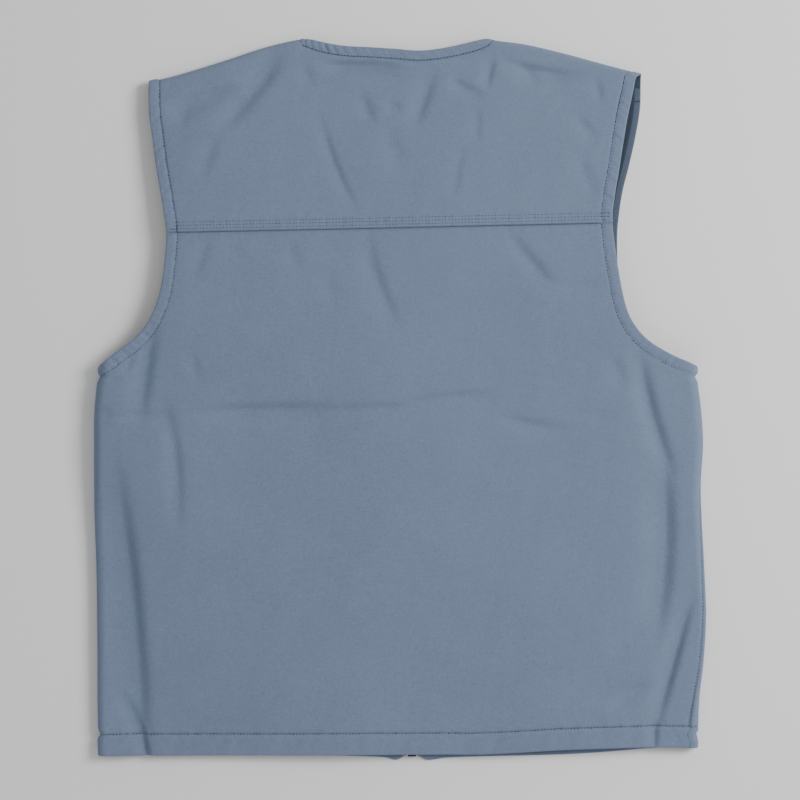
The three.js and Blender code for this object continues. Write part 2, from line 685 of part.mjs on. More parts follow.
// The turned hem of the back: its flat length, and its end that turns round the left side fold.
function backHems() {
  const rows = [0, 0.5, 1].map((up) => {
    const rise = up * (hem_height - half_gap);
    const ends = [-1, 1].map((side) => {
      const y = hemLine("back", side * half_chest) + rise;
      return new THREE.Vector2(seamReach(side, "back", y), y);
    });
    return backRow(ends[0], ends[1], (reach) => hemLine("back", reach) + rise);
  });
  const turn = rows.map((row) => row.slice(0, edge_columns + 1));
  const flat = rows.map((row) => {
    const { point, normal } = row[edge_columns];
    const start = { point: point.clone().setX(point.x + seam_gap), normal };
    return [start, ...row.slice(edge_columns + 1)];
  });
  return [sheet("back_hem", flat, doubled), sheet("back_hem_side", turn, doubled)];
}

// The turned hem of a front: its corner at the zip hangs lower.
function frontHem(side) {
  const grid = [0, 0.5, 1].map((up) => {
    const rise = up * (hem_height - half_gap);
    const inner_y = hemLine("front", zip_at_hem) + rise;
    const outer_y = hemLine("front", side * half_chest) + rise;
    const inner = new THREE.Vector2(zipCentre(inner_y) + side * (zip_opening / 2), inner_y);
    const outer = new THREE.Vector2(seamReach(side, "front", outer_y), outer_y);
    return frontRow(side, inner, outer, (x) => hemLine("front", x) + rise);
  });
  return sheet(side < 0 ? "front_hem_left" : "front_hem_right", grid, doubled);
}

// The turned edge of an armhole: down the back, round the armpit, up the front and over the shoulder.
function armholeHem(side) {
  const widths = [0, 0.5, 1].map((share) => share * (armhole_hem_width - half_gap));
  const across = (layer, step) =>
    widths.map((width) => {
      const line = armholeLine(side, layer, step, width);
      return sidePlace(side, layer, line.x, line.y);
    });
  const grid = [];
  const back_steps = [...lower_steps, lapStep(side), ...upper_steps].reverse();
  back_steps.forEach((step) => grid.push(across("back", step)));
  front_steps.slice(1).forEach((step) => grid.push(across("front", step)));
  grid.push(across("front", lerp(front_seam_steps, armhole_steps, 0.5)), across("front", armhole_steps));
  const shoulder = side < 0 ? shoulder_left : shoulder_right;
  const runs = steps_between(1, -1, fold_steps).slice(1, -1);
  runs.forEach((turn) => {
    grid.push(
      widths.map((width) => {
        const x = side * (shoulder - width);
        return placeOn(overShoulder, x, turn * shoulderFold(x).quarter);
      }),
    );
  });
  return sheet(side < 0 ? "armhole_hem_left" : "armhole_hem_right", grid, doubled, () => true, true);
}

// Stations along the front neck seam from the zip's edge up to the yoke, set off from it by a width.
function neckFront(off) {
  const last = shoulderFold(neck_shift).quarter + yoke_wrap;
  const edge_angle = Math.acos(zip_opening / 2 / neck_widest);
  return steps_between(edge_angle, 0, ellipse_steps).map((angle) => {
    const x = (neck_widest + off) * Math.cos(angle);
    return new THREE.Vector2(x, last + (front_neck_depth + off) * Math.sin(angle));
  });
}

// Stations along the neck seam from the zip's left edge round the back of the neck to its right edge.
function neckSeam() {
  const { quarter } = shoulderFold(neck_shift);
  const last = quarter + yoke_wrap;
  const half = neckFront(0);
  const front_runs = steps_between(last, quarter, 2).slice(1);
  const fold_runs = steps_between(quarter, -quarter, fold_steps).slice(1);
  [...front_runs, ...fold_runs].forEach((run) => half.push(new THREE.Vector2(neckSide(run), run)));
  const left = half.map((place) => new THREE.Vector2(neck_shift - place.x, place.y));
  const right = half.map((place) => new THREE.Vector2(neck_shift + place.x, place.y)).reverse();
  const back = steps_between(-1, 1, neck_columns)
    .slice(1, -1)
    .map((across) => {
      const down = back_neck_depth * read(back_neck_line, "across", "down", across);
      return new THREE.Vector2(neck_shift + neck_at_fold * across, -quarter - down);
    });
  return [...left, ...back, ...right];
}

// The binding of the neck edge.
function neckBinding() {
  const seam = neckSeam();
  const last = seam.length - 1;
  const grid = seam.map((place, j) => {
    const along = seam[Math.min(j + 1, last)].clone().sub(seam[Math.max(j - 1, 0)]).normalize();
    if (j === 0 || j === last) along.set(-1, 0);
    const inward = new THREE.Vector2(-along.y, along.x);
    return [half_gap, binding_width / 2, binding_width].map((width) => {
      const point = place.clone().addScaledVector(inward, width);
      return shoulderPlace(point.x, point.y);
    });
  });
  return sheet("neck_binding", grid, doubled);
}

// A box by its size and its place along the zip: centre across, lower end, lowest face.
function block(width, length, height, across, from, low) {
  const box = new THREE.BoxGeometry(width, length, height);
  return box.translate(across, from + length / 2, low + height / 2);
}

// A named mesh of boxes joined into one solid.
function joined(name, blocks, material) {
  const parts = blocks.map((box) => {
    box.deleteAttribute("normal");
    box.deleteAttribute("uv");
    const merged = mergeVertices(box);
    const vertProperties = new Float32Array(merged.attributes.position.array);
    return new wasm.Manifold(
      new wasm.Mesh({ numProp: 3, vertProperties, triVerts: new Uint32Array(merged.index.array) }),
    );
  });
  const whole = parts.reduce((sum, part) => sum.add(part)).getMesh();
  const geometry = new THREE.BufferGeometry();
  geometry.setAttribute("position", new THREE.BufferAttribute(whole.vertProperties, 3));
  geometry.setIndex(new THREE.BufferAttribute(whole.triVerts, 1));
  geometry.computeVertexNormals();
  const mesh = new THREE.Mesh(geometry, material);
  mesh.name = name;
  return mesh;
}

// The closed zip, built upright from the bottom end of its box and turned along the front edges.
function zip() {
  const bottom = hemLine("front", zip_at_hem) - box_below_hem;
  const length = y_neck_bottom - bottom - binding_width;
  const tape_low = doubled + seam_gap;
  const middle = tape_low + tape_wall / 2;
  const teeth_low = middle - teeth_height / 2;
  const teeth_start = box_length + seam_gap;
  const teeth_end = length - slider_length / 2;
  const tape_inner = teeth_width / 2 + seam_gap;
  const parts = [];
  [-1, 1].forEach((side) => {
    const word = side < 0 ? "left" : "right";
    const half = (teeth_width - seam_gap) / 2;
    const teeth_across = (side * (teeth_width + seam_gap)) / 4;
    const teeth = block(half, teeth_end - teeth_start, teeth_height, teeth_across, teeth_start, teeth_low);
    parts.push(joined("zip_teeth_" + word, [teeth], zip_black));
    const tape_start = box_length + seam_gap;
    const tape_across = side * (tape_inner + tape_width / 2);
    const tape = block(tape_width, length - tape_start, tape_wall, tape_across, tape_start, tape_low);
    parts.push(joined("zip_tape_" + word, [tape], tape_cloth));
  });
  const outer_low = teeth_low - seam_gap - slider_plate;
  const inner_low = teeth_low + teeth_height + seam_gap;
  const slider_start = length - slider_length;
  const post_start = teeth_end + seam_gap;
  const post_length = length - post_start;
  const slider = [
    block(slider_width, slider_length, slider_plate, 0, slider_start, outer_low),
    block(slider_width, slider_length, slider_plate, 0, slider_start, inner_low),
    block(teeth_width / 2, post_length, inner_low + slider_plate - outer_low, 0, post_start, outer_low),
    block(pull_width, pull_length, slider_plate, 0, slider_start - pull_length + slider_plate, outer_low),
  ];
  parts.push(joined("zip_slider", slider, zip_black));
  const box = block(box_width, box_length, box_height, 0, 0, middle - box_height / 2);
  parts.push(joined("zip_box", [box], zip_black));
  const group = new THREE.Group().add(...parts);
  group.position.set(zipCentre(bottom), bottom, 0);
  group.rotation.z = Math.atan2(zip_at_hem - neck_shift, y_neck_bottom - y_hem);
  return group;
}

const wasm = await Module();
wasm.setup();
const vest = new THREE.Group();
vest.add(backBody(), backYoke(), front(-1), front(1), ...backHems(), frontHem(-1), frontHem(1));
vest.add(armholeHem(-1), armholeHem(1), neckBinding(), zip());
export default vest;
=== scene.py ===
# A canvas vest lying on its front with its back up, seen from straight above.
# Lengths are in millimetres here, and meshes are made in metres, with +Z up.
import math

import bpy
import numpy as np
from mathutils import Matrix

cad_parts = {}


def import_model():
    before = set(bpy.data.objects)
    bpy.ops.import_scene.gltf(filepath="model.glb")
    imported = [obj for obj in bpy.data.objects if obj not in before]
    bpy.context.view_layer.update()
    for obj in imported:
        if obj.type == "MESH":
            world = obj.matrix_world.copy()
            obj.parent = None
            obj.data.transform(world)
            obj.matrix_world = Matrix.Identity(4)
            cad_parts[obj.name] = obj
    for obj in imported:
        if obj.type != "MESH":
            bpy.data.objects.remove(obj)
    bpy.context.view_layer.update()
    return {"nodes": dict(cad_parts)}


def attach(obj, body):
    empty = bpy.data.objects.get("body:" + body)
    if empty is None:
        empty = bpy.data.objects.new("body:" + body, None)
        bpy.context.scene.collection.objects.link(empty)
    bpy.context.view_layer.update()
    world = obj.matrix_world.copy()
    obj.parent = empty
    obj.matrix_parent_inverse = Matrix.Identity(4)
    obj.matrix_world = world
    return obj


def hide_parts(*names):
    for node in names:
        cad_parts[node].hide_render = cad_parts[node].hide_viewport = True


METRES = 0.001

# Cloth
CLOTH = 1.6
DOUBLED = 2.6
SEAM_GAP = 0.3

# Lengths down the vest
SIDE_LENGTH = 372
ARMHOLE_DEPTH = 272
SHOULDER_DROP = 40
FRONT_HEM_SHOW = 5
YOKE_WRAP = 27
YOKE_LAP = 12

# Widths from the centre line
HALF_CHEST = 290
SHOULDER_LEFT = 239.5
SHOULDER_RIGHT = 230.5
BACK_NARROW_LEFT = 222
BACK_NARROW_RIGHT = 202
FRONT_NARROW = 208

# Neck
NECK_SHIFT = -4.3
NECK_AT_FOLD = 88
NECK_WIDEST = 112
BACK_NECK_DEPTH = 14
FRONT_NECK_DEPTH = 88
BINDING_WIDTH = 9.2
GATHER_CENTRE = 72
GATHER_REACH = 30
GATHER_PITCH = 8.5
GATHER_DEPTH = 1.8
GATHER_SLANT = 0.75
GATHER_HEIGHTS = (240, 300)  # heights between which the gathers come in, on the back only
GATHER_SWAY = 1.5
GATHER_SWAY_REACH = 11
GATHER_LEVEL = 0.8

# Turned edges
HEM_HEIGHT = 20.5
HEM_WAVE = 9
HEM_BEND_REACH = 60  # how far up a front its rows bend with the hem
ARMHOLE_HEM_WIDTH = 10.5
# Painted shade on an armhole band's inner face: the width of its edge strip, which takes the less dark shade,
# the height above which the darker shade takes over, and a thin line of the darker shade this far below that
# height, with its width.
FACING_WIDTH = 5
CROSS_SEAM = 297
CROSS_FOLD = 12
CROSS_FOLD_WIDTH = 2
NOTCH_DEPTH = 2.4
NOTCH_WIDTH = 3

# How the cloth lies
CHEST_LIFT = 20
MIDDLE_SAG = 0.15
NECK_DROOP = 2

# Zip
ZIP_OPENING = 10.6
ZIP_AT_HEM = 11.5
TAPE_WIDTH = 12
TAPE_WALL = 0.8
TEETH_WIDTH = 5.6
TOOTH_PITCH = 1.9
TOOTH_HEIGHT = 2.0
TOOTH_REACH = 0.56  # a tooth's width as a share of TEETH_WIDTH
TOOTH_FILL = 0.62  # its length as a share of TOOTH_PITCH
TOOTH_BEVEL = 0.2
BOX_BEVEL = 0.7
SLIDER_LENGTH = 11
BOX_WIDTH = 8
BOX_LENGTH = 11
BOX_HEIGHT = 4.6
BOX_BELOW_HEM = 1

# Sewing
STITCH_PITCH = 3.15
STITCH_LENGTH = 2.2
THREAD = 0.5
STITCH_WANDER = 0.2
STITCH_LEAN = 0.09
# Needle holes are flat dark discs of painted shade, standing in for the shadow in each hole: their length,
# width and lift over the cloth.
HOLE_LENGTH = 1.15
HOLE_WIDTH = 1.35
HOLE_LIFT = 0.05
STITCH_ROWS = (3.0, 6.2, 9.4)  # rows of the yoke above its lower edge
BAND_ROWS_END = (1.2, 3.5, 6.0, 8.5)  # where those rows cross an armhole's band, in from its edge
SIDE_ROW_INSET = 1.1
SIDE_ROW_END = 30  # where a side seam's row ends, below the armpit

# A stitch's thread along its length, from -1 to 1: swell is a share of THREAD and lift is in millimetres
THREAD_SIDES = 6
THREAD_SHAPE = {
    "along": [-1, -0.8, 0, 0.8, 1],
    "swell": [0.25, 0.85, 1.0, 0.85, 0.25],
    "lift": [-0.42, -0.08, 0.06, -0.08, -0.42],
}

# Grooves pulled in along the seams, in millimetres
GROOVES = {
    "edge": {"deep": 0.4, "wide": 1.5},
    "side_back": {"deep": 0.6, "wide": 1.3},
    "side_front": {"deep": 0.4, "wide": 1.0},
    "below_yoke": {"deep": 0.7, "wide": 1.6},
    "yoke_row": {"deep": 0.32, "wide": 0.8},
    "neck": {"deep": 0.9, "wide": 2.4},
    "band_at_yoke": {"deep": 0.9, "wide": 0.8},
}

# Puckers beside the seams: height and pitch in millimetres, slant is their shift along the seam
# for each millimetre across it
PUCKER_COLUMNS = ["height", "pitch", "slant", "seed"]
PUCKER_ROWS = {
    "above_hem": [0.3, 9, 0.5, 21],
    "back_left": [0.2, 7.5, 0, 22],
    "back_right": [0.2, 7.5, 0, 23],
    "below_yoke": [0.15, 9, 0, 24],
    "yoke_rows": [0.22, 6, 0, 31],
    "yoke_left": [0.2, 7.5, 0, 32],
    "yoke_right": [0.2, 7.5, 0, 33],
    "hem": [0.42, 8, 0.6, 41],
    "hem_slow": [0.3, 21, -0.4, 42],
    "band_left": [0.5, 9, 0.4, 50],
    "band_right": [0.5, 9, 0.4, 52],
    "binding": [0.25, 9, 0, 61],
}
PUCKERS = {kind: dict(zip(PUCKER_COLUMNS, row)) for kind, row in PUCKER_ROWS.items()}
PITCH_SHARES = (0.7, 1.0, 1.45, 2.3)  # the ripples summed for each row of PUCKERS
PUCKER_SUM = 2.6  # the sum's usual height
SEAM_FADE = 7
ARMHOLE_FADE = 5
ARMHOLE_BLEND = 20  # how far below the armpit an armhole's puckers begin
SIDE_SEAM_END = 10  # how far below the armpit a side seam's groove ends

# Relief of the turned edges and seams
SEAM_PINCH = 0.42  # a turned edge's thickness at its seam, as a share
PINCH_REACH = 3.4
THINNEST = 0.05  # a folded edge's thickness at its very end, as a share
BAND_STEP = (-0.3, 0.9)  # heights above the yoke's seam between which an armhole's band steps up on to it
BAND_RISE = 3  # how far in from its edge a band's ripples reach their height
SIDE_RIDGE = {"in": 2.6, "wide": 1.8, "high": 0.8}  # the pressed ridge beside a front's side seam
YOKE_EDGE = 0.75
ZIP_CORNER = {"out": 8, "wide": 9, "low": 1.1}  # the front hem's corner that hangs at the zip

# Places worked out from the sizes
LOW_MIDDLE = DOUBLED / 2
BACK_LENGTH = SIDE_LENGTH + ARMHOLE_DEPTH + SHOULDER_DROP
Y_TOP = (BACK_LENGTH + FRONT_HEM_SHOW) / 2
Y_SHOULDER = Y_TOP - SHOULDER_DROP
Y_ARMPIT = Y_SHOULDER - ARMHOLE_DEPTH
Y_HEM = Y_ARMPIT - SIDE_LENGTH
CORE_HEIGHT = 0.25  # share of the way up from the front to the back, inside the vest
NEAR = 0.05
NEAR_STEP = 0.25
ARMHOLE_STEPS = 14
YOKE_STEPS = 8
FRONT_SEAM_STEPS = 13
STRAIGHT_STEPS = 1.2  # the last steps, over which an armhole's edge turns straight towards the shoulder
SHOULDER_TURNS = (-1.2, 0.1)  # turns over the shoulder between which its edge goes out to the front's

# The side folds as shares of HALF_CHEST, by share of SIDE_LENGTH above the hem
SIDE_EDGES = {
    "up": [0.0, 0.15, 0.24, 0.36, 0.48, 0.62, 0.7, 0.8, 0.88, 0.95, 1.0],
    "left": [0.993, 0.996, 0.996, 0.997, 0.999, 1.005, 1.006, 1.006, 1.005, 0.997, 0.989],
    "right": [0.979, 0.986, 0.999, 1.006, 0.999, 0.989, 0.987, 0.995, 0.99, 0.98, 0.976],
}

# Where the side seam lies on the fold: 0 is its top and 1 its underside
SIDE_SEAMS = {
    "up": [0.0, 0.08, 0.17, 0.3, 0.5, 0.7, 1.0],
    "left": [0.66, 0.67, 0.68, 0.7, 0.7, 0.68, 0.5],
    "right": [-0.16, -0.13, 0.07, 0.18, 0.3, 0.42, 0.5],
}

# Armhole edges by step from the armpit to the shoulder: up is a share of the span,
# shoulder and armpit are shares of the way out from the narrowest place
ARMHOLE_BACK_LEFT = {
    "up": [0.0, 0.018, 0.05, 0.087, 0.135, 0.19, 0.27, 0.37, 0.477, 0.56, 0.645, 0.73, 0.815, 0.91, 1.0],
    "shoulder": [0, 0, 0, 0, 0, 0, 0, 0, 0, 0.17, 0.39, 0.61, 0.78, 0.97, 1.0],
    "armpit": [1.0, 0.9, 0.74, 0.53, 0.335, 0.2, 0.09, 0.03, 0, 0, 0, 0, 0, 0, 0],
}
ARMHOLE_BACK_RIGHT = {
    "up": [0.0, 0.0137, 0.0293, 0.0517, 0.085, 0.13, 0.2, 0.332, 0.5, 0.595, 0.677, 0.766, 0.863, 0.94, 1.0],
    "shoulder": [0, 0, 0, 0, 0, 0, 0, 0, 0, 0.08, 0.214, 0.347, 0.5, 0.66, 0.77],
    "armpit": [1.0, 0.9, 0.77, 0.62, 0.44, 0.29, 0.165, 0.07, 0, 0, 0, 0, 0, 0, 0],
}
ARMHOLE_FRONT = {
    "up": [0.0, 0.014, 0.028, 0.047, 0.078, 0.12, 0.19, 0.31, 0.45, 0.54, 0.62, 0.7, 0.8, 0.905, 1.0],
    "shoulder": [0, 0, 0, 0, 0, 0, 0, 0, 0, 0.09, 0.245, 0.49, 0.76, 0.97, 1.0],
    "armpit": [1.0, 0.9, 0.76, 0.6, 0.42, 0.26, 0.12, 0.02, 0, 0, 0, 0, 0, 0, 0],
}
for armhole in (ARMHOLE_BACK_LEFT, ARMHOLE_BACK_RIGHT, ARMHOLE_FRONT):
    armhole["step"] = list(range(ARMHOLE_STEPS + 1))

# The shoulder folds: drop as a share of SHOULDER_DROP, out from the neck point to the shoulder point
SHOULDER_LINE = {
    "out": [0.0, 0.08, 0.25, 0.5, 0.75, 0.9, 1.0],
    "left": [0.0, 0.045, 0.2, 0.505, 0.79, 0.94, 1.0],
    "right": [0.0, 0.043, 0.13, 0.345, 0.595, 0.74, 0.83],
}

# The back neck seam: down as a share of BACK_NECK_DEPTH, across as a share of NECK_AT_FOLD
BACK_NECK_LINE = {
    "across": [-1.0, -0.8, -0.55, -0.25, 0.0, 0.25, 0.5, 0.75, 0.9, 1.0],
    "down": [0.0, 0.42, 0.68, 0.78, 0.88, 1.0, 0.86, 0.55, 0.28, 0.0],
}

# The hem lines as shares of HEM_WAVE for the back, and of FRONT_HEM_SHOW below it for the front
HEM_LINES = {
    "across": [-1.0, -0.7, -0.3, -0.1, -0.045, -0.01, 0.022, 0.058, 0.09, 0.15, 0.28, 0.52, 0.66, 0.85, 1.0],
    "rise": [0.0, 0.05, 0.1, 0.12, 0.12, 0.12, 0.12, 0.12, 0.12, 0.13, 0.15, 0.62, 0.8, 0.93, 0.84],
    "show": [0.0, 0.0, 0.3, 0.6, 0.8, 1.2, 0.35, 0.45, 1.22, 0.85, 0.6, 1.1, 1.0, 0.35, 0.0],
}

# Lift of the back's wall as a share of CHEST_LIFT, by share of BACK_LENGTH above the hem
LIFTS = {
    "up": [0.0, 0.05, 0.25, 0.45, 0.6, 0.75, 0.9, 1.0],
    "lift": [0.62, 0.66, 0.8, 0.95, 1.0, 0.9, 0.7, 0.62],
}

# Creases of the back. Places are shares of HALF_CHEST and BACK_LENGTH, bow is the bend to the left
# as a share of the crease's length, and deep, steep and soft are in millimetres. The steep wall of
# the dip is on the left of the way from the first end to the second, and the ends are on this wall.
CREASE_COLUMNS = ["x0", "y0", "x1", "y1", "bow", "deep", "steep", "soft"]
CREASE_ROWS = [
    [-0.93, 0.454, -0.826, -0.06, 0.016, 4.2, 8.5, 26],
    [-0.924, 0.101, -0.819, 0, 0.045, 2.3, 3.6, 8],
    [-0.776, 0.626, -0.842, 0.446, -0.02, 2.2, 7, 12],
    [-0.862, 0.572, -0.894, 0.526, 0, 0.8, 4, 8],
    [-0.78, 0.523, -0.727, 0.294, 0.06, 1.2, 5, 10],
    [-0.675, 0.572, -0.645, 0.512, 0, 0.5, 4, 8],
    [-0.76, 0.479, -0.111, 0.486, 0.022, 2.3, 4.6, 12],
    [-0.269, 0.485, 0.098, 0.493, 0, 1.4, 4, 9],
    [-0.052, 0.487, 0.367, 0.508, 0.04, 1.5, 3.8, 9],
    [0.295, 0.48, 0.59, 0.458, -0.02, 1.2, 4.4, 9],
    [0.511, 0.482, 0.727, 0.48, 0, 0.4, 4, 9],
    [-1.002, 0.493, -0.93, 0.475, 0, 0.6, 3.5, 7],
    [-0.95, 0.478, -0.708, 0.479, 0, 0.9, 4, 9],
    [0.789, 0.586, 0.93, 0.373, -0.04, 2.5, 6.4, 10],
    [0.694, 0.572, 0.763, 0.501, 0, 0.7, 6, 10],
    [0.865, 0.454, 0.832, 0.118, 0.05, 3.1, 8, 18],
    [0.842, 0.179, 0.665, 0.136, 0, 1, 6, 12],
    [0.979, 0.24, 0.829, 0.01, 0, 2.9, 4.8, 10],
    [0.848, 0.054, 0.842, 0, 0, 1.3, 3, 6],
    [-0.852, 0.035, -0.809, -0.015, 0, 1.5, 3.2, 7],
    [0.858, 0.1, 0.675, 0.055, 0, 1.3, 5.5, 9],
    [0.839, 0.096, 0.59, 0.06, -0.05, 0.7, 4, 8],
    [-0.262, 0.907, -0.108, 0.743, -0.045, 0.9, 3.2, 8],
    [0.131, 0.962, 0.049, 0.862, 0, 1.2, 5.4, 10],
    [-0.124, 0.929, -0.072, 0.88, 0, 0.9, 5, 9],
    [-0.056, 0.908, 0.013, 0.91, 0, 0.7, 3, 6],
    [-0.039, 0.887, 0.039, 0.808, 0, 0.7, 9, 12],
    [0.269, 0.915, 0.256, 0.84, 0, 0.5, 3.6, 8],
    [0.216, 0.86, 0.18, 0.765, 0, 0.5, 3.6, 8],
    [-0.357, 0.987, -0.599, 0.858, 0.02, 2.7, 7.5, 13],
    [-0.583, 0.868, -0.655, 0.79, 0, 0.8, 6, 10],
    [-0.799, 0.898, -0.511, 0.937, 0.03, 3, 6.6, 11],
    [-0.681, 0.908, -0.717, 0.868, 0, 0.5, 4.4, 8],
    [-0.288, 0.968, 0.026, 0.966, 0, 2.9, 3.6, 8],
    [-0.256, 0.964, -0.072, 0.969, 0, 0.9, 3.2, 6],
    [-0.321, 0.971, -0.265, 0.929, 0, 0.5, 5, 8],
    [0.154, 0.948, 0.298, 0.919, 0, 1.4, 3.8, 8],
    [0.318, 0.978, 0.285, 0.922, 0, 1, 3.2, 7],
    [0.314, 0.978, 0.622, 0.954, -0.06, 2.2, 4.6, 9],
    [0.393, 0.968, 0.475, 0.937, 0, 0.9, 4, 8],
    [0.649, 0.951, 0.672, 0.904, 0, 0.6, 3.4, 7],
    [0.57, 0.901, 0.668, 0.855, 0, 0.8, 4.4, 8],
    [0.59, 0.846, 0.662, 0.768, 0, 0.6, 6, 9],
    [-0.105, 0.743, 0.033, 0.579, -0.05, 1.1, 5, 12],
    [0.341, 0.74, 0.531, 0.648, 0, 1.3, 4, 9],
    [0.478, 0.661, 0.675, 0.666, -0.06, 0.8, 3.8, 8],
    [-0.606, 0.726, -0.675, 0.657, 0, 0.6, 5, 9],
    [-0.364, 0.726, -0.308, 0.671, 0, 0.5, 5, 9],
    [-0.229, 0.687, -0.206, 0.626, 0, 0.5, 7, 10],
]
CREASES = [dict(zip(CREASE_COLUMNS, row)) for row in CREASE_ROWS]

CREASE_DEPTH = 2.1
DEEPEST_DIP = 0.52  # share of the lift at a height
CREASE_ENDS = 0.42  # share of a crease's length over which each end fades

# Slow waves over the whole cloth: length and height in millimetres
WAVES = [
    {"length": 210, "height": 0.9, "seed": 3},
    {"length": 90, "height": 0.35, "seed": 5},
    {"length": 34, "height": 0.09, "seed": 8},
    {"length": 13, "height": 0.025, "seed": 13},
]
DIRECTIONS = 9  # wave fronts summed for each row of WAVES

# Mesh steps
BODY_COLUMNS = 236
SIDE_ROWS = 120
ARMHOLE_ROWS = 84
YOKE_SIDE_COLUMNS = 70
NECK_COLUMNS = 100
YOKE_ROWS = 66
FOLD_ROWS = 18
WRAP_ROWS = 10
FRONT_COLUMNS = 110
FRONT_UPPER_ROWS = 120
HEM_COLUMNS = 330
BAND_ROWS = 260
NECK_FRONT_STATIONS = 110
NECK_WRAP_STATIONS = 17
NECK_FOLD_STATIONS = 24
NECK_BACK_STATIONS = 160
NECK_ROWS = 50
LAP_ROWS = 4
SIDE_ROW_POINTS = 240
BACK_CROWDING = 1.25  # rows lie closer towards the armpit by this power
FRONT_CROWDING = 1.2
YOKE_RINGS = (-0.12, 0.2, 15)  # closer rings of an armhole's band at the yoke's seam: from, to, count
RINGS_APART = 0.02
FINE_STEPS = 400
LAP_RISES = sorted([0, 0.25, 0.6, 1.1, 1.8, *STITCH_ROWS, 4.6, 7.8, 10.6, YOKE_LAP])

# Mesh steps across the turned edges, as shares of their width
BACK_HEM_SHARES = [0, 0.012, 0.035, 0.07, 0.14, 0.27, 0.4, 0.55, 0.68, 0.8, 0.88, 0.94, 0.98, 1.0]
FRONT_HEM_SHARES = [0, 0.012, 0.035, 0.07, 0.14, 0.3, 0.5, 0.7, 0.85, 0.94, 1.0]
BAND_SHARES = [0, 0.015, 0.045, 0.1, 0.22, 0.38, 0.55, 0.72, 0.84, 0.92, 0.97, 1.0]
BINDING_SHARES = [0, 0.03, 0.08, 0.16, 0.3, 0.45, 0.6, 0.75, 0.87, 0.94, 0.98, 1.0]

# Colours as linear values
CANVAS_COLOUR = (0.165, 0.219, 0.322)
# Painted shade: a darker canvas on the cloth's inner faces, standing in for the shadow inside the vest.
INSIDE_SHADE_COLOUR = (0.045, 0.061, 0.091)
# Painted shade: a less dark canvas on the inner face of the armhole bands' edge strips and of the neck
# binding, for the shadow in the openings.
FACING_SHADE_COLOUR = (0.088, 0.117, 0.17)
THREAD_COLOUR = (0.14, 0.186, 0.272)
# Painted shade: the dark colour of the needle holes' discs.
HOLE_SHADE_COLOUR = (0.032, 0.043, 0.066)
ZIP_COLOUR = (0.008, 0.009, 0.012)
FLOOR_COLOUR = (0.9, 0.9, 0.9)

# The canvas: its threads' distance in metres, its noises as scale, detail and roughness, its uneven
# threads as scales along x and y, and the shares of them all in its tone and in its relief
THREADS_APART = 0.00062
TAPE_THREADS_APART = 0.0005
NOISES = {
    "wobble": (140, 2, 0.5),
    "fine": (1300, 3, 0.7),
    "heather": (520, 4, 0.75),
    "patches": (22, 3, 0.55),
}
STREAKS = {"warp": (800, 170), "weft": (150, 800)}
WOBBLES = (9, 7)
TONE_BASE = 0.425
TONE = {"heather": 0.42, "patches": 0.09, "fine": 0.24, "warp": 0.2, "weft": 0.2, "weave": 0.03}
RELIEF = {"weave": 0.35, "fine": 0.9, "heather": 1.1, "warp": 1.0, "weft": 1.0}

# Lights: around is degrees anticlockwise from the photo's right, up is degrees above the floor,
# far and size are in metres and power in watts
FLOOR_REACH = 3.0
WORLD_LIGHT = 0.47
LIGHTS = [
    {"name": "key", "around": 20, "up": 42, "far": 2.4, "size": 1.0, "power": 51},
    {"name": "low", "around": -100, "up": 40, "far": 2.4, "size": 1.6, "power": 4},
]

# Camera, straight above the vest
CAMERA_LENS = 100
CAMERA_SENSOR = 36
CAMERA_FIELD = 760  # width seen at the back's usual height, which is a share of CHEST_LIFT
FIELD_HEIGHT = 0.9


def read(table, key, column, place):
    """Reads a column of a table at places along its key column, smoothly from row to row."""
    keys = np.array(table[key], float)
    values = np.array(table[column], float)
    place = np.asarray(place, float)
    i = np.clip(np.searchsorted(keys, place, side="left") - 1, 0, len(keys) - 2)
    rises = np.append(values[1:], values[-1]) - np.append(values[0], values[:-1])
    runs = np.append(keys[1:], keys[-1]) - np.append(keys[0], keys[:-1])
    slopes = rises / runs
    span = keys[i + 1] - keys[i]
    t = np.clip((place - keys[i]) / span, 0, 1)
    rise = t * t * (3 - 2 * t)
    value = values[i] * (1 - rise) + values[i + 1] * rise
    return value + span * (slopes[i] * t * (1 - t) ** 2 - slopes[i + 1] * t * t * (1 - t))


def lerp(start, end, share):
    """The value a share of the way from one to another."""
    return start + (end - start) * share


def smooth(start, end, place):
    """Rises from 0 to 1 between two places."""
    t = np.clip((place - start) / (end - start), 0, 1)
    return t * t * (3 - 2 * t)


def side_edge(x, y):
    """Half of the vest's width at a height, out to the side fold."""
    up = np.clip((y - Y_HEM) / SIDE_LENGTH, 0, 1)
    left = read(SIDE_EDGES, "up", "left", up)
    right = read(SIDE_EDGES, "up", "right", up)
    notch = 0
    for seam in (Y_ARMPIT - ARMHOLE_HEM_WIDTH, Y_HEM + HEM_HEIGHT):
        notch = notch + NOTCH_DEPTH * np.exp(-(((y - seam) / NOTCH_WIDTH) ** 2))
    return HALF_CHEST * np.where(x < 0, left, right) - notch


def edge_height(y):
    """Height of the middle of the back's wall, without its creases."""
    return CHEST_LIFT * read(LIFTS, "up", "lift", np.clip((y - Y_HEM) / BACK_LENGTH, 0, 1))


def crease_at(crease, x, y):
    """Depth that one crease adds at a place."""
    from_x = crease["x0"] * HALF_CHEST
    from_y = Y_HEM + crease["y0"] * BACK_LENGTH
    run_x = crease["x1"] * HALF_CHEST - from_x
    run_y = Y_HEM + crease["y1"] * BACK_LENGTH - from_y
    length = math.hypot(run_x, run_y)
    along = ((x - from_x) * run_x + (y - from_y) * run_y) / length**2
    t = np.clip(along, 0, 1)
    away = ((y - from_y) * run_x - (x - from_x) * run_y) / length - crease["bow"] * length * 4 * t * (1 - t)
    away = away + crease["steep"] / math.sqrt(2)
    wall = np.where(away > 0, crease["steep"], crease["soft"])
    ends = smooth(0, CREASE_ENDS, t) * smooth(0, CREASE_ENDS, 1 - t)
    return CREASE_DEPTH * crease["deep"] * ends * np.exp(-((away / wall) ** 2))


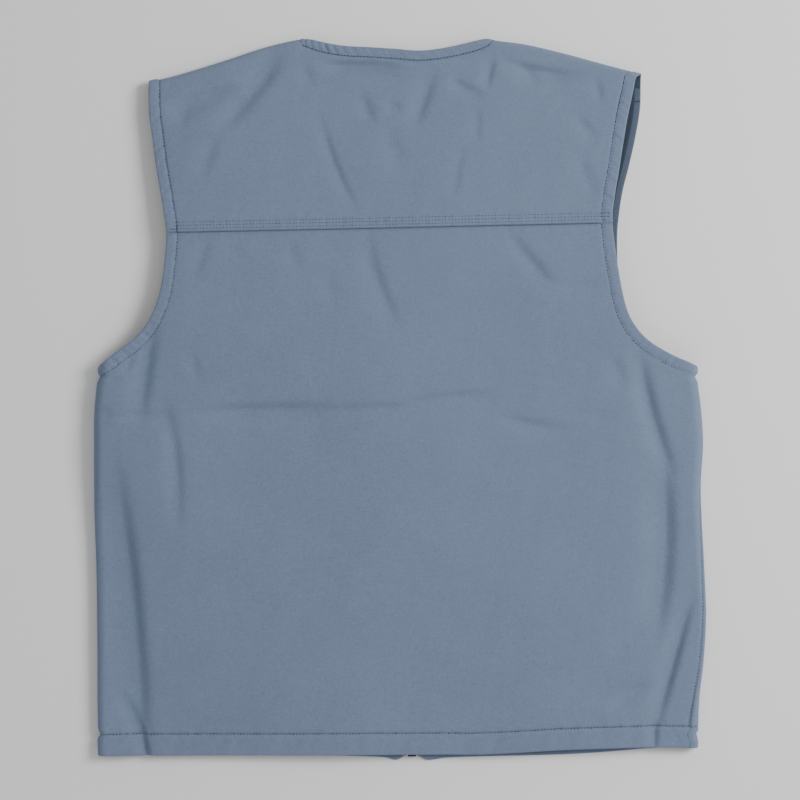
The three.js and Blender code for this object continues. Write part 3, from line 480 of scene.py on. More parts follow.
def waves_at(wave, x, y):
    """Height of slow waves that run in many directions."""
    chance = np.random.default_rng(wave["seed"])
    total = np.zeros(np.broadcast(x, y).shape)
    for _ in range(DIRECTIONS):
        angle = chance.uniform(0, 2 * math.pi)
        phase = chance.uniform(0, 2 * math.pi)
        turns = 2 * math.pi / (wave["length"] * chance.uniform(0.75, 1.35))
        total += np.sin((x * math.cos(angle) + y * math.sin(angle)) * turns + phase)
    return wave["height"] * total / math.sqrt(DIRECTIONS)


def back_height(x, y):
    """Height of the middle of the back's wall at a place."""
    across = np.minimum(1, np.abs(x) / HALF_CHEST)
    sag = MIDDLE_SAG * (1 - across**2) ** 2
    beside_neck = (x - NECK_SHIFT) / NECK_AT_FOLD
    below_neck = (Y_TOP - y) / SHOULDER_DROP
    near_neck = np.exp(-2 * beside_neck**2 - below_neck**2)
    height = edge_height(y) * (1 - sag) - NECK_DROOP * near_neck
    dip = sum(crease_at(crease, x, y) for crease in CREASES)
    deepest = DEEPEST_DIP * edge_height(y)
    height = height - deepest * np.tanh(dip / deepest)
    for wave in WAVES:
        height = height + waves_at(wave, x, y)
    return height


def side_fold(x, y):
    """The side fold at a height: its radius and where the flat cloth ends."""
    radius = (edge_height(y) - LOW_MIDDLE) / 2
    return radius, side_edge(x, y) - radius - CLOTH / 2


def round_side(layer, reach, y):
    """Points of a layer by their reach along the cloth from the centre line, below 0 on the left."""
    side = np.where(reach < 0, -1.0, 1.0)
    radius, flat = side_fold(reach, y)
    turn = np.maximum(0, np.abs(reach) - flat) / radius
    start = side * np.minimum(np.abs(reach), flat)
    x = start + side * radius * np.sin(turn)
    rise = np.cos(turn) if layer == "back" else -np.cos(turn)
    dent = np.where(rise > 0, back_height(start, y) - edge_height(y), 0)
    z = LOW_MIDDLE + radius + (radius + dent) * rise
    return np.stack(np.broadcast_arrays(x, y, z), -1)


def seam_reach(side, layer, y):
    """Reach of the side seam from the centre line, on one layer."""
    radius, flat = side_fold(side, y)
    up = np.clip((y - Y_HEM) / SIDE_LENGTH, 0, 1)
    turn = read(SIDE_SEAMS, "up", "left" if side < 0 else "right", up)
    return flat + math.pi * radius * (turn if layer == "back" else 1 - turn)


def shoulder_fold(x):
    """The shoulder fold at a place: its radius, where the flat cloth ends, and a quarter turn's length."""
    shoulder = np.where(x < NECK_SHIFT, SHOULDER_LEFT + NECK_SHIFT, SHOULDER_RIGHT - NECK_SHIFT)
    out = (np.abs(x - NECK_SHIFT) - NECK_AT_FOLD) / (shoulder - NECK_AT_FOLD)
    out = np.clip(out, 0, 1)
    left_drop = read(SHOULDER_LINE, "out", "left", out)
    right_drop = read(SHOULDER_LINE, "out", "right", out)
    crest = Y_TOP - SHOULDER_DROP * np.where(x < NECK_SHIFT, left_drop, right_drop)
    radius = (edge_height(crest) - LOW_MIDDLE) / 2
    return radius, crest - radius - CLOTH / 2, math.pi * radius / 2


def over_shoulder(x, run):
    """Points of the cloth by their run over the shoulder from the crest, below 0 on the back."""
    radius, start, quarter = shoulder_fold(x)
    angle = np.clip(run, -quarter, quarter) / radius
    middle = LOW_MIDDLE + radius
    dent = (back_height(x, start) - middle - radius) * np.maximum(0, -np.sin(angle))
    back_y = start + run + quarter
    y = np.where(run < -quarter, back_y, start + radius * np.cos(angle))
    y = np.where(run > quarter, start - run + quarter, y)
    z = np.where(run < -quarter, back_height(x, back_y), middle - radius * np.sin(angle) + dent)
    return np.stack(np.broadcast_arrays(x, y, z), -1)


NECK_START, NECK_QUARTER = (float(value) for value in shoulder_fold(np.array(NECK_SHIFT))[1:])


def armhole_sizes(side, layer):
    """An armhole's table, and its distances from the centre where it is narrowest and at the shoulder."""
    shoulder = SHOULDER_LEFT if side < 0 else SHOULDER_RIGHT
    if layer == "front":
        return ARMHOLE_FRONT, FRONT_NARROW, shoulder
    if side < 0:
        return ARMHOLE_BACK_LEFT, BACK_NARROW_LEFT, shoulder
    return ARMHOLE_BACK_RIGHT, BACK_NARROW_RIGHT, shoulder


def shoulder_end(side, turn):
    """Distance of the armhole's edge over the shoulder, by turn from -1 on the back to 1 on the front."""
    table, narrow, shoulder = armhole_sizes(side, "back")
    back = lerp(narrow, shoulder, table["shoulder"][-1])
    return lerp(back, shoulder, smooth(*SHOULDER_TURNS, turn))


def run_at(x, run):
    """The run at a place that answers to a run at the neck's centre."""
    turned = np.clip(run, -NECK_QUARTER, NECK_QUARTER)
    return turned / NECK_QUARTER * shoulder_fold(x)[2] + run - turned


def on_shoulder(x, run):
    """Points over the shoulder by the run at the neck's centre."""
    return over_shoulder(x, run_at(x, run))


def hem_line(layer, x):
    """Height of a layer's hem line."""
    across = np.clip(x / HALF_CHEST, -1, 1)
    back = Y_HEM + HEM_WAVE * read(HEM_LINES, "across", "rise", across)
    if layer == "back":
        return back
    return back - FRONT_HEM_SHOW * read(HEM_LINES, "across", "show", across)


def neck_side(run):
    """Distance of the neck seam from the neck's centre, between the fold and the yoke's front seam."""
    left_to_go = (NECK_QUARTER + YOKE_WRAP - run) / (2 * NECK_QUARTER + YOKE_WRAP)
    return NECK_WIDEST - (NECK_WIDEST - NECK_AT_FOLD) * left_to_go**2


Y_NECK_BOTTOM = NECK_START - YOKE_WRAP - FRONT_NECK_DEPTH


def zip_centre(y):
    """Centre of the zip at a height."""
    return lerp(ZIP_AT_HEM, NECK_SHIFT, (y - Y_HEM) / (Y_NECK_BOTTOM - Y_HEM))


ZIP_TURN = math.atan2(ZIP_AT_HEM - NECK_SHIFT, Y_NECK_BOTTOM - Y_HEM)
ZIP_BOTTOM = float(hem_line("front", ZIP_AT_HEM)) - BOX_BELOW_HEM


def armhole_edge(side, layer, step):
    """An armhole edge on one layer: reach from the centre line and height, by step from the armpit."""
    table, narrow, shoulder = armhole_sizes(side, layer)
    span = shoulder_fold(np.array(side * shoulder))[1] - Y_ARMPIT
    y = Y_ARMPIT + span * read(table, "step", "up", step)
    radius, flat = side_fold(side, y)
    armpit_radius, armpit_flat = side_fold(side, Y_ARMPIT)
    out = lerp(narrow, shoulder, read(table, "step", "shoulder", step))
    out = out + (armpit_flat + armpit_radius - narrow) * read(table, "step", "armpit", step)
    turned = flat + radius * np.arcsin(np.clip((out - flat) / radius, 0, 1))
    return np.where(out <= flat, out, turned), y


def armhole_line(side, layer, step, width):
    """The armhole's edge, or a line set in from it by a width."""
    step = np.asarray(step, float)
    x, y = armhole_edge(side, layer, step)
    x0, y0 = armhole_edge(side, layer, np.maximum(step - NEAR_STEP, 0))
    x1, y1 = armhole_edge(side, layer, np.minimum(step + NEAR_STEP, ARMHOLE_STEPS))
    length = np.hypot(x1 - x0, y1 - y0)
    at_shoulder = smooth(ARMHOLE_STEPS - STRAIGHT_STEPS, ARMHOLE_STEPS, step)
    along_x = lerp((x1 - x0) / length, 0, at_shoulder)
    along_y = lerp((y1 - y0) / length, 1, at_shoulder)
    at_armpit = 1 - smooth(0, 1, step)
    armpit_x = armhole_edge(side, layer, 0)[0]
    seam_x = x - armpit_x + seam_reach(side, "back", Y_ARMPIT - width)
    inset_x = lerp(x - along_y * width, seam_x, at_armpit)
    return inset_x, lerp(y + along_x * width, y - width, at_armpit)


def panel_edge(side, layer, steps, inset):
    """Edge of a body panel from the hem's stitch line up its side seam and armhole."""
    bottom = hem_line(layer, side * HALF_CHEST) + HEM_HEIGHT
    top = Y_ARMPIT - inset
    side_y = lerp(bottom, top, np.arange(SIDE_ROWS) / SIDE_ROWS)
    arm_x, arm_y = armhole_line(side, layer, steps, inset)
    arm_x[0] = seam_reach(side, layer, top)
    return np.append(seam_reach(side, layer, side_y), arm_x), np.append(side_y, arm_y)


YOKE_CORNERS = {side: armhole_line(side, "back", YOKE_STEPS, ARMHOLE_HEM_WIDTH) for side in (-1, 1)}


def yoke_seam(x):
    """Height of the yoke's lower edge."""
    left_x, left_y = YOKE_CORNERS[-1]
    right_x, right_y = YOKE_CORNERS[1]
    return lerp(left_y, right_y, (x + left_x) / (left_x + right_x))


def lap_step(side):
    """The step up the back armhole where the yoke's lap over the back ends."""
    steps = np.linspace(YOKE_STEPS, YOKE_STEPS + 2, FINE_STEPS)
    heights = armhole_line(side, "back", steps, ARMHOLE_HEM_WIDTH)[1]
    return float(np.interp(YOKE_CORNERS[side][1] + YOKE_LAP, heights, steps))


def yoke_raise(x, y):
    """How far the yoke stands over the back's top edge."""
    past_lap = (y - yoke_seam(x) - YOKE_LAP) / (2 * YOKE_LAP)
    return (CLOTH + SEAM_GAP) * (1 - np.clip(past_lap, 0, 1))


def band_raise(x, y):
    """How far the armhole's turned edge stands up where it holds the yoke."""
    return yoke_raise(x, y) * smooth(*BAND_STEP, y - yoke_seam(x))


def placed(surface, u, v):
    """Points on a surface that two numbers run over, and the normals that face out of the vest."""
    u, v = np.broadcast_arrays(np.asarray(u, float), np.asarray(v, float))
    point = surface(u, v)
    across = surface(u + NEAR, v) - surface(u - NEAR, v)
    along = surface(u, v + NEAR) - surface(u, v - NEAR)
    normal = np.cross(across, along)
    normal /= np.linalg.norm(normal, axis=-1, keepdims=True)
    x, y = point[..., 0], point[..., 1]
    flat_x = np.sign(x) * np.minimum(np.abs(x), side_fold(x, y)[1])
    flat_y = np.minimum(y, shoulder_fold(x)[1])
    core = np.stack([flat_x, flat_y, lerp(LOW_MIDDLE, edge_height(flat_y), CORE_HEIGHT)], -1)
    inward = np.sum(normal * (core - point), -1) > 0
    normal[inward] *= -1
    return point, normal


def on_layer(layer, reach, y):
    """Points and outward normals on a layer, by reach from the centre line and height."""
    return placed(lambda u, v: round_side(layer, u, v), reach, y)


def lengths(point, axis):
    """Distance along a grid's rows or columns from their first point."""
    steps = np.linalg.norm(np.diff(point, axis=axis), axis=-1)
    total = np.cumsum(steps, axis=axis)
    start = np.zeros_like(np.take(total, [0], axis=axis))
    return np.concatenate([start, total], axis=axis)


def edge_distances(point):
    """Distances of a grid's points from its first and last row, and first and last column."""
    down = lengths(point, 0)
    across = lengths(point, 1)
    return down, down[-1:] - down, across, across[:, -1:] - across


def puckers(kind, along, across=0.0):
    """Height of the uneven ripples along a seam."""
    row = PUCKERS[kind]
    chance = np.random.default_rng(row["seed"])
    place = along + across * row["slant"]
    total = 0
    for share in PITCH_SHARES:
        phase = chance.uniform(0, 2 * math.pi)
        pitch = row["pitch"] * share * chance.uniform(0.9, 1.1)
        total = total + np.sin(2 * math.pi * place / pitch + phase)
    return row["height"] * total / PUCKER_SUM


def fade(distance, reach):
    """Dies away from 1 at a seam."""
    return np.exp(-distance / reach)


def hump(place, middle, wide):
    """Rises to 1 at a place and falls away on both sides."""
    return np.exp(-(((place - middle) / wide) ** 2))


def beside_armhole(y):
    """1 beside an armhole and 0 below it."""
    return smooth(Y_ARMPIT - ARMHOLE_BLEND, Y_ARMPIT, y)


def beside_side_seam(y):
    """1 beside a side seam and 0 where it comes up to the armhole."""
    return 1 - smooth(Y_ARMPIT - SIDE_ROW_END, Y_ARMPIT - SIDE_SEAM_END, y)


def new_object(name, mesh, materials):
    """A piece in the scene with its materials, one for each slot."""
    item = bpy.data.objects.new(name, mesh)
    bpy.context.scene.collection.objects.link(item)
    for material in materials:
        mesh.materials.append(material)
    return item


def mesh_of(name, points, faces):
    """A smooth mesh from points in millimetres, none of them below the floor."""
    points = np.array(points)
    points[:, 2] = np.maximum(points[:, 2], 0)
    mesh = bpy.data.meshes.new(name)
    mesh.from_pydata((points * METRES).tolist(), [], [list(face) for face in faces])
    mesh.shade_smooth()
    mesh.update()
    return mesh


def sheet_piece(name, point, normal, up, down, materials, keep=None, ring=False, inner_slots=None):
    """A cloth sheet from a grid of points on its middle, closed all round, with its faces outwards."""
    rows, columns = point.shape[:2]
    up = np.broadcast_to(up, (rows, columns))[..., None]
    down = np.broadcast_to(down, (rows, columns))[..., None]
    points = np.stack([point + normal * up, point - normal * down], 2).reshape(-1, 3)
    cells = rows if ring else rows - 1
    used = np.ones((cells, columns - 1), bool)
    if keep is not None:
        used &= keep
    j, i = np.nonzero(used)
    after = (j + 1) % rows

    def corner(row, column, face):
        """Number of a grid corner's point on the outer or the inner face."""
        return (row * columns + column) * 2 + face

    loop = [(j, i), (j, i + 1), (after, i + 1), (after, i)]
    outer = np.stack([corner(a, b, 0) for a, b in loop], -1)
    inner = np.stack([corner(a, b, 1) for a, b in reversed(loop)], -1)
    edged = np.pad(used, 1)
    if ring:
        edged[0, 1:-1] = used[-1]
        edged[-1, 1:-1] = used[0]
    beyond = [edged[j, i + 1], edged[j + 1, i + 2], edged[j + 2, i + 1], edged[j + 1, i]]
    rims = []
    for k, neighbour in enumerate(beyond):
        free = ~neighbour
        a, b = loop[k], loop[(k + 1) % 4]
        ends = [corner(*a, 1), corner(*b, 1), corner(*b, 0), corner(*a, 0)]
        rims.append(np.stack(ends, -1)[free])
    faces = np.concatenate([outer, inner] + rims)
    kinds = np.zeros(len(faces), int)
    kinds[len(outer) : 2 * len(outer)] = 1 if inner_slots is None else inner_slots[j, i]
    first, second, third = (points[faces[:, k]] for k in range(3))
    if np.sum(first * np.cross(second, third)) < 0:
        faces = faces[:, ::-1]
    kept, faces = np.unique(faces, return_inverse=True)
    faces = faces.reshape(-1, 4)
    mesh = mesh_of(name, points[kept], faces)
    piece = new_object(name, mesh, materials)
    mesh.polygons.foreach_set("material_index", kinds)
    return piece


def edge_shares(parts, close=0.55):
    """Shares from 0 to 1 with closer steps at both ends."""
    share = np.linspace(0, 1, parts + 1)
    return share - close * np.sin(2 * math.pi * share) / (2 * math.pi)


def round_edge(distance, half):
    """Half of a folded edge's thickness at a distance from the edge."""
    t = np.clip(distance / half, 0, 1)
    return half * np.maximum(THINNEST, np.sqrt(1 - (1 - t) ** 2))


def band_half(from_edge, from_seam):
    """Half thickness across a turned edge: round at its fold, and pulled down at its seam."""
    half = DOUBLED / 2
    seam = lerp(SEAM_PINCH * half, half, smooth(0, PINCH_REACH, from_seam))
    return np.minimum(round_edge(from_edge, half), seam)


def into_band(from_edge, width, power=0.5):
    """0 at both edges of a turned edge and 1 in its middle."""
    return np.sin(math.pi * np.clip(from_edge / width, 0, 1)) ** power


def groove(kind, distance):
    """Depth of the groove that a row of stitches pulls in, at a distance from it."""
    row = GROOVES[kind]
    return row["deep"] * hump(distance, 0, row["wide"])


def back_panel(materials):
    """The back below the yoke: its top edge lies under the yoke's lap."""
    arm_steps = YOKE_STEPS * np.linspace(0, 1, ARMHOLE_ROWS) ** BACK_CROWDING
    edges = []
    for side in (-1, 1):
        lap_steps = np.linspace(YOKE_STEPS, lap_step(side), LAP_ROWS + 1)[1:]
        steps = np.append(arm_steps, lap_steps)
        edges.append(panel_edge(side, "back", steps, ARMHOLE_HEM_WIDTH - SEAM_GAP))
    (left_x, left_y), (right_x, right_y) = edges
    share = edge_shares(BODY_COLUMNS)[None, :]
    reach = lerp(-left_x[:, None], right_x[:, None], share)
    chord = lerp(left_y[:, None], right_y[:, None], share)
    bend = hem_line("back", reach) + HEM_HEIGHT - SEAM_GAP - chord[:1]
    gone = (chord - chord[:1]) / (chord[-1:] - chord[:1])
    y = chord + bend * (1 - np.clip(gone, 0, 1)) ** 2
    point, normal = on_layer("back", reach, y)
    low, _, left, right = edge_distances(point)
    along_x = point[..., 0]
    along_y = point[..., 1]
    below_yoke = yoke_seam(along_x) - along_y
    up = CLOTH / 2 - groove("edge", low) - puckers("above_hem", along_x, low) * fade(low, SEAM_FADE)
    up = up - beside_side_seam(along_y) * (groove("side_back", right) + groove("side_back", left))
    for distance, kind in ((left, "back_left"), (right, "back_right")):
        relief = groove("edge", distance) + puckers(kind, along_y) * fade(distance, ARMHOLE_FADE)
        up = up - relief * beside_armhole(along_y)
    up = up - puckers("below_yoke", along_x) * fade(np.abs(below_yoke), SEAM_FADE)
    up = up - groove("below_yoke", below_yoke)
    piece = sheet_piece("back_panel", point, normal, up, CLOTH / 2, materials)
    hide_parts("back_body")
    return piece


def side_row(side):
    """Where the side seam's thread runs along the back's edge, from the hem up to the armpit."""
    y = np.linspace(Y_HEM + HEM_HEIGHT + SEAM_GAP, Y_ARMPIT - SIDE_ROW_END, SIDE_ROW_POINTS)
    reach = side * (seam_reach(side, "back", y) - SIDE_ROW_INSET)
    point, normal = on_layer("back", reach, y)
    return point + normal * (CLOTH / 2 - groove("side_back", SIDE_ROW_INSET)), normal


def over_band(side, rise):
    """Points of one of the yoke's stitch rows across an armhole's band, from its outer edge inwards."""
    steps = np.linspace(YOKE_STEPS - 2, YOKE_STEPS + 3, FINE_STEPS)
    reach, heights = armhole_line(side, "back", steps, 0)
    edge = float(np.interp(YOKE_CORNERS[side][1] + rise, heights, reach))
    x = side * (edge - np.array(BAND_ROWS_END))
    y = yoke_seam(x) + rise
    return np.stack([x, y, back_height(x, y) + band_raise(x, y) + DOUBLED / 2], -1)


def yoke_row(ends, neck):
    """Places across the yoke: from its ends to the neck's edges, and between those."""
    sides = np.linspace(0, 1, YOKE_SIDE_COLUMNS + 1)
    middle = np.linspace(0, 1, NECK_COLUMNS + 1)
    left = NECK_SHIFT - neck
    right = NECK_SHIFT + neck
    parts = [lerp(-ends[0], left, sides), lerp(left, right, middle)[1:-1], lerp(right, ends[1], sides)]
    return np.concatenate(parts)


def yoke_back():
    """The yoke's grid on the back, from its lower edge up to the shoulder folds and the neck seam."""
    inset = ARMHOLE_HEM_WIDTH - SEAM_GAP
    laps = [lap_step(side) for side in (-1, 1)]
    xs, ys = [], []
    for rise in LAP_RISES:
        ends = []
        for side, lap in zip((-1, 1), laps):
            step = lerp(YOKE_STEPS, lap, rise / YOKE_LAP)
            ends.append(float(armhole_line(side, "back", step, inset)[0]))
        row = yoke_row(ends, NECK_AT_FOLD)
        xs.append(row)
        ys.append(yoke_seam(row) + rise)
    edges = []
    for side, lap in zip((-1, 1), laps):
        edges.append(armhole_line(side, "back", np.linspace(lap, ARMHOLE_STEPS, YOKE_ROWS + 1), inset))
    (left_x, left_y), (right_x, right_y) = edges
    left_rise = (left_y - left_y[0]) / (left_y[-1] - left_y[0])
    right_rise = (right_y - right_y[0]) / (right_y[-1] - right_y[0])
    for k in range(1, YOKE_ROWS + 1):
        row = yoke_row((left_x[k], right_x[k]), NECK_AT_FOLD)
        across = np.clip((row - NECK_SHIFT) / NECK_AT_FOLD, -1, 1)
        neck = NECK_START - BACK_NECK_DEPTH * read(BACK_NECK_LINE, "across", "down", across)
        top = np.where(np.abs(row - NECK_SHIFT) >= NECK_AT_FOLD, shoulder_fold(row)[1], neck)
        share = (row + left_x[k]) / (left_x[k] + right_x[k])
        xs.append(row)
        ys.append(lerp(yoke_seam(row) + YOKE_LAP, top, lerp(left_rise[k], right_rise[k], share)))
    return np.array(xs), np.array(ys)


def yoke_fold():
    """The yoke's points and normals from the shoulder folds down to its front seams."""
    inset = ARMHOLE_HEM_WIDTH - SEAM_GAP
    over = np.linspace(-NECK_QUARTER, NECK_QUARTER, FOLD_ROWS + 1)[1:]
    down = NECK_QUARTER + YOKE_WRAP * np.linspace(0, 1, WRAP_ROWS + 1)[1:]
    xs, runs = [], []
    for run in np.append(over, down):
        if run < NECK_QUARTER:
            ends = [float(shoulder_end(side, run / NECK_QUARTER)) - inset for side in (-1, 1)]
        else:
            step = lerp(ARMHOLE_STEPS, FRONT_SEAM_STEPS, (run - NECK_QUARTER) / YOKE_WRAP)
            ends = [float(armhole_line(side, "front", step, inset)[0]) for side in (-1, 1)]
        xs.append(yoke_row(ends, neck_side(run)))
        runs.append(np.full(len(xs[-1]), run))
    return placed(on_shoulder, np.array(xs), np.array(runs))


def on_yoke(x, y):
    """Points of the yoke on the back."""
    return np.stack(np.broadcast_arrays(x, y, back_height(x, y) + yoke_raise(x, y)), -1)


def yoke(materials):
    """The yoke: up the back, over both shoulders and down to its front seams."""
    xs, ys = yoke_back()
    point, normal = placed(on_yoke, xs, ys)
    above = ys - yoke_seam(xs)
    up = round_edge(above, CLOTH / 2 + YOKE_EDGE) - YOKE_EDGE * smooth(1.2, YOKE_LAP * 1.2, above)
    for row in STITCH_ROWS:
        up = up - groove("yoke_row", above - row)
    up = up + puckers("yoke_rows", xs) * hump(above, YOKE_LAP / 2, SEAM_FADE)
    left = lengths(point, 1)
    for distance, kind in ((left, "yoke_left"), (left[:, -1:] - left, "yoke_right")):
        up = up - groove("edge", distance) - puckers(kind, ys) * fade(distance, ARMHOLE_FADE)
    beside_neck = np.maximum(0, np.abs(xs - NECK_SHIFT) - NECK_AT_FOLD)
    up = up - groove("neck", np.hypot(beside_neck, ys[-1:] - ys))
    fold_point, fold_normal = yoke_fold()
    fold_left = lengths(fold_point, 1)
    fold_up = CLOTH / 2 - groove("edge", fold_left) - groove("edge", fold_left[:, -1:] - fold_left)
    point = np.concatenate([point, fold_point])
    normal = np.concatenate([normal, fold_normal])
    up = np.concatenate([up, fold_up])
    keep = np.ones((point.shape[0] - 1, point.shape[1] - 1), bool)
    keep[len(xs) - 1 :, YOKE_SIDE_COLUMNS : YOKE_SIDE_COLUMNS + NECK_COLUMNS] = False
    piece = sheet_piece("yoke", point, normal, up, CLOTH / 2, materials, keep)
    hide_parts("back_yoke")
    outer = point + normal * up[..., None]
    rows = []
    for rise in STITCH_ROWS:
        ends = [over_band(side, rise) for side in (-1, 1)]
        path = np.concatenate([ends[0], outer[LAP_RISES.index(rise), 2:-2], ends[1][::-1]])
        rows.append((path, np.tile((0.0, 0.0, 1.0), (len(path), 1))))
    return piece, rows


def neck_front(parts):
    """Stations along the front neck seam from the zip's edge up to the yoke."""
    angle = np.linspace(math.acos(ZIP_OPENING / 2 / NECK_WIDEST), 0, parts + 1)
    return NECK_WIDEST * np.cos(angle), NECK_QUARTER + YOKE_WRAP + FRONT_NECK_DEPTH * np.sin(angle)


def front_panel(side, materials):
    """A front, from the hem's stitch line up to the yoke's front seam."""
    zip_rows = FRONT_UPPER_ROWS - NECK_ROWS
    steps = np.linspace(0, 1, FRONT_UPPER_ROWS + 1) ** FRONT_CROWDING * FRONT_SEAM_STEPS
    outer_x, outer_y = panel_edge(side, "front", steps, ARMHOLE_HEM_WIDTH - SEAM_GAP)
    across, run = neck_front(NECK_ROWS)
    neck_x = NECK_SHIFT + side * across
    neck = over_shoulder(neck_x, run_at(neck_x, run))
    stitch_line = hem_line("front", ZIP_AT_HEM) + HEM_HEIGHT - SEAM_GAP
    armpit = outer_y[SIDE_ROWS]
    lower = lerp(stitch_line, armpit, np.arange(SIDE_ROWS) / SIDE_ROWS)
    upper = lerp(armpit, neck[0, 1], np.arange(zip_rows + 1) / zip_rows)
    inner_y = np.concatenate([lower, upper, neck[1:, 1]])
    inner_x = np.concatenate([zip_centre(np.append(lower, upper)) + side * ZIP_OPENING / 2, neck[1:, 0]])
    share = edge_shares(FRONT_COLUMNS, 0.5)[None, :]
    reach = side * lerp(side * inner_x[:, None], outer_x[:, None], share)
    chord = lerp(inner_y[:, None], outer_y[:, None], share)
    bend = hem_line("front", reach) + HEM_HEIGHT - SEAM_GAP - chord[:1]
    y = chord + bend * (1 - np.clip((chord - chord[:1]) / HEM_BEND_REACH, 0, 1)) ** 2
    point, normal = on_layer("front", reach, y)
    low, _, _, outside = edge_distances(point)
    along_y = point[..., 1]
    half = CLOTH / 2 - groove("edge", low) - groove("edge", outside) * beside_armhole(along_y)
    ridge = SIDE_RIDGE["high"] * hump(outside, SIDE_RIDGE["in"], SIDE_RIDGE["wide"])
    half = half + beside_side_seam(along_y) * (ridge - groove("side_front", outside))
    name = "front_panel_left" if side < 0 else "front_panel_right"
    piece = sheet_piece(name, point, normal, half, CLOTH / 2, materials)
    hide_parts("front_left" if side < 0 else "front_right")
    return piece


def back_hem(materials):
    """The turned hem of the back."""
    rise = HEM_HEIGHT * np.array(BACK_HEM_SHARES)
    ends = []
    for side in (-1, 1):
        y = hem_line("back", side * HALF_CHEST) + rise
        ends.append(seam_reach(side, "back", y))
    share = edge_shares(HEM_COLUMNS, 0.5)[None, :]
    reach = lerp(-ends[0][:, None], ends[1][:, None], share)
    y = hem_line("back", reach) + rise[:, None]
    point, normal = on_layer("back", reach, y)
    from_edge = np.broadcast_to(rise[:, None], y.shape)
    from_seam = HEM_HEIGHT - from_edge
    half = band_half(from_edge, from_seam)
    ripples = puckers("hem", reach, from_edge) * fade(from_seam, SEAM_FADE)
    ripples = ripples + puckers("hem_slow", reach, from_edge)
    up = half + ripples * into_band(from_edge, HEM_HEIGHT)
    piece = sheet_piece("hem_back", point, normal, up, half, materials)
    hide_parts("back_hem", "back_hem_side")
    outer = point + normal * up[..., None]
    return piece, (outer[-1], normal[-1])


def front_hem(side, materials):
    """The turned hem of a front: its corner at the zip hangs lower."""
    rise = HEM_HEIGHT * np.array(FRONT_HEM_SHARES)
    inner_y = hem_line("front", ZIP_AT_HEM) + rise
    outer_y = hem_line("front", side * HALF_CHEST) + rise
    inner_x = zip_centre(inner_y) + side * ZIP_OPENING / 2
    outer_x = seam_reach(side, "front", outer_y)
    share = edge_shares(FRONT_COLUMNS * 2, 0.5)[None, :]
    reach = side * lerp(side * inner_x[:, None], outer_x[:, None], share)
    y = hem_line("front", reach) + rise[:, None]
    point, normal = on_layer("front", reach, y)
    from_edge = np.broadcast_to(rise[:, None], y.shape)
    half = band_half(from_edge, HEM_HEIGHT - from_edge)
    corner = hump(point[..., 0], ZIP_AT_HEM + side * ZIP_CORNER["out"], ZIP_CORNER["wide"])
    down = half + ZIP_CORNER["low"] * corner * smooth(0, 2, from_edge)
    name = "hem_front_left" if side < 0 else "hem_front_right"
    piece = sheet_piece(name, point, normal, half, down, materials)
    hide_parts("front_hem_left" if side < 0 else "front_hem_right")
    outer = point + normal * half[..., None]
    return piece, (outer[-1], normal[-1])


def band_rings(side, widths):
    """Points and normals of an armhole's band in rings: down the back, up the front and over the shoulder."""
    even_steps = np.linspace(0, 1, BAND_ROWS + 1) ** FRONT_CROWDING * ARMHOLE_STEPS
    at_yoke = YOKE_STEPS + np.linspace(*YOKE_RINGS)
    apart = (even_steps < at_yoke[0] - RINGS_APART) | (even_steps > at_yoke[-1] + RINGS_APART)
    back_steps = np.sort(np.append(even_steps[apart], at_yoke))[::-1]
    rings = []
    for layer, steps in (("back", back_steps), ("front", even_steps[1:])):
        lines = [armhole_line(side, layer, steps, width) for width in widths]
        reach = side * np.stack([line[0] for line in lines], 1)
        rings.append(on_layer(layer, reach, np.stack([line[1] for line in lines], 1)))
    turns = np.linspace(1, -1, FOLD_ROWS + 1)[1:-1]
    x = side * (shoulder_end(side, turns)[:, None] - widths)
    rings.append(placed(over_shoulder, x, turns[:, None] * shoulder_fold(x)[2]))
    return [np.concatenate(parts) for parts in zip(*rings)]


def armhole_band(side, materials):
    """The turned edge round an armhole."""
    widths = ARMHOLE_HEM_WIDTH * np.array(BAND_SHARES)
    point, normal = band_rings(side, widths)
    from_edge = np.broadcast_to(widths, point.shape[:2])
    half = band_half(from_edge, ARMHOLE_HEM_WIDTH - from_edge)
    along = lengths(point, 0)[:, -1:]
    ripples = puckers("band_left" if side < 0 else "band_right", along, from_edge)
    up = half + ripples * into_band(from_edge, ARMHOLE_HEM_WIDTH) * smooth(0, BAND_RISE, from_edge)
    on_back = normal[..., 2] > 0.2
    from_yoke = point[..., 1] - yoke_seam(point[..., 0])
    up = up - groove("band_at_yoke", from_yoke + 0.2) * on_back
    point[..., 2] += np.where(on_back, band_raise(point[..., 0], point[..., 1]), 0)
    # Painted shade on the band's inner face: the edge strip below the cross seam takes the less dark shade,
    # and the rest, with a thin line across the strip, the darker shade.
    height = point[:, :-1, 1]
    fold = np.abs(height - CROSS_SEAM + CROSS_FOLD) <= CROSS_FOLD_WIDTH / 2
    facing_shade_mask = (from_edge[:, :-1] < FACING_WIDTH) & (height < CROSS_SEAM) & ~fold
    inner_slots = np.where(facing_shade_mask, 1, 2)
    name = "armhole_edge_left" if side < 0 else "armhole_edge_right"
    piece = sheet_piece(name, point, normal, up, half, materials, ring=True, inner_slots=inner_slots)
    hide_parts("armhole_hem_left" if side < 0 else "armhole_hem_right")
    outer = point + normal * up[..., None]
    return piece, (outer[:, -1], normal[:, -1])


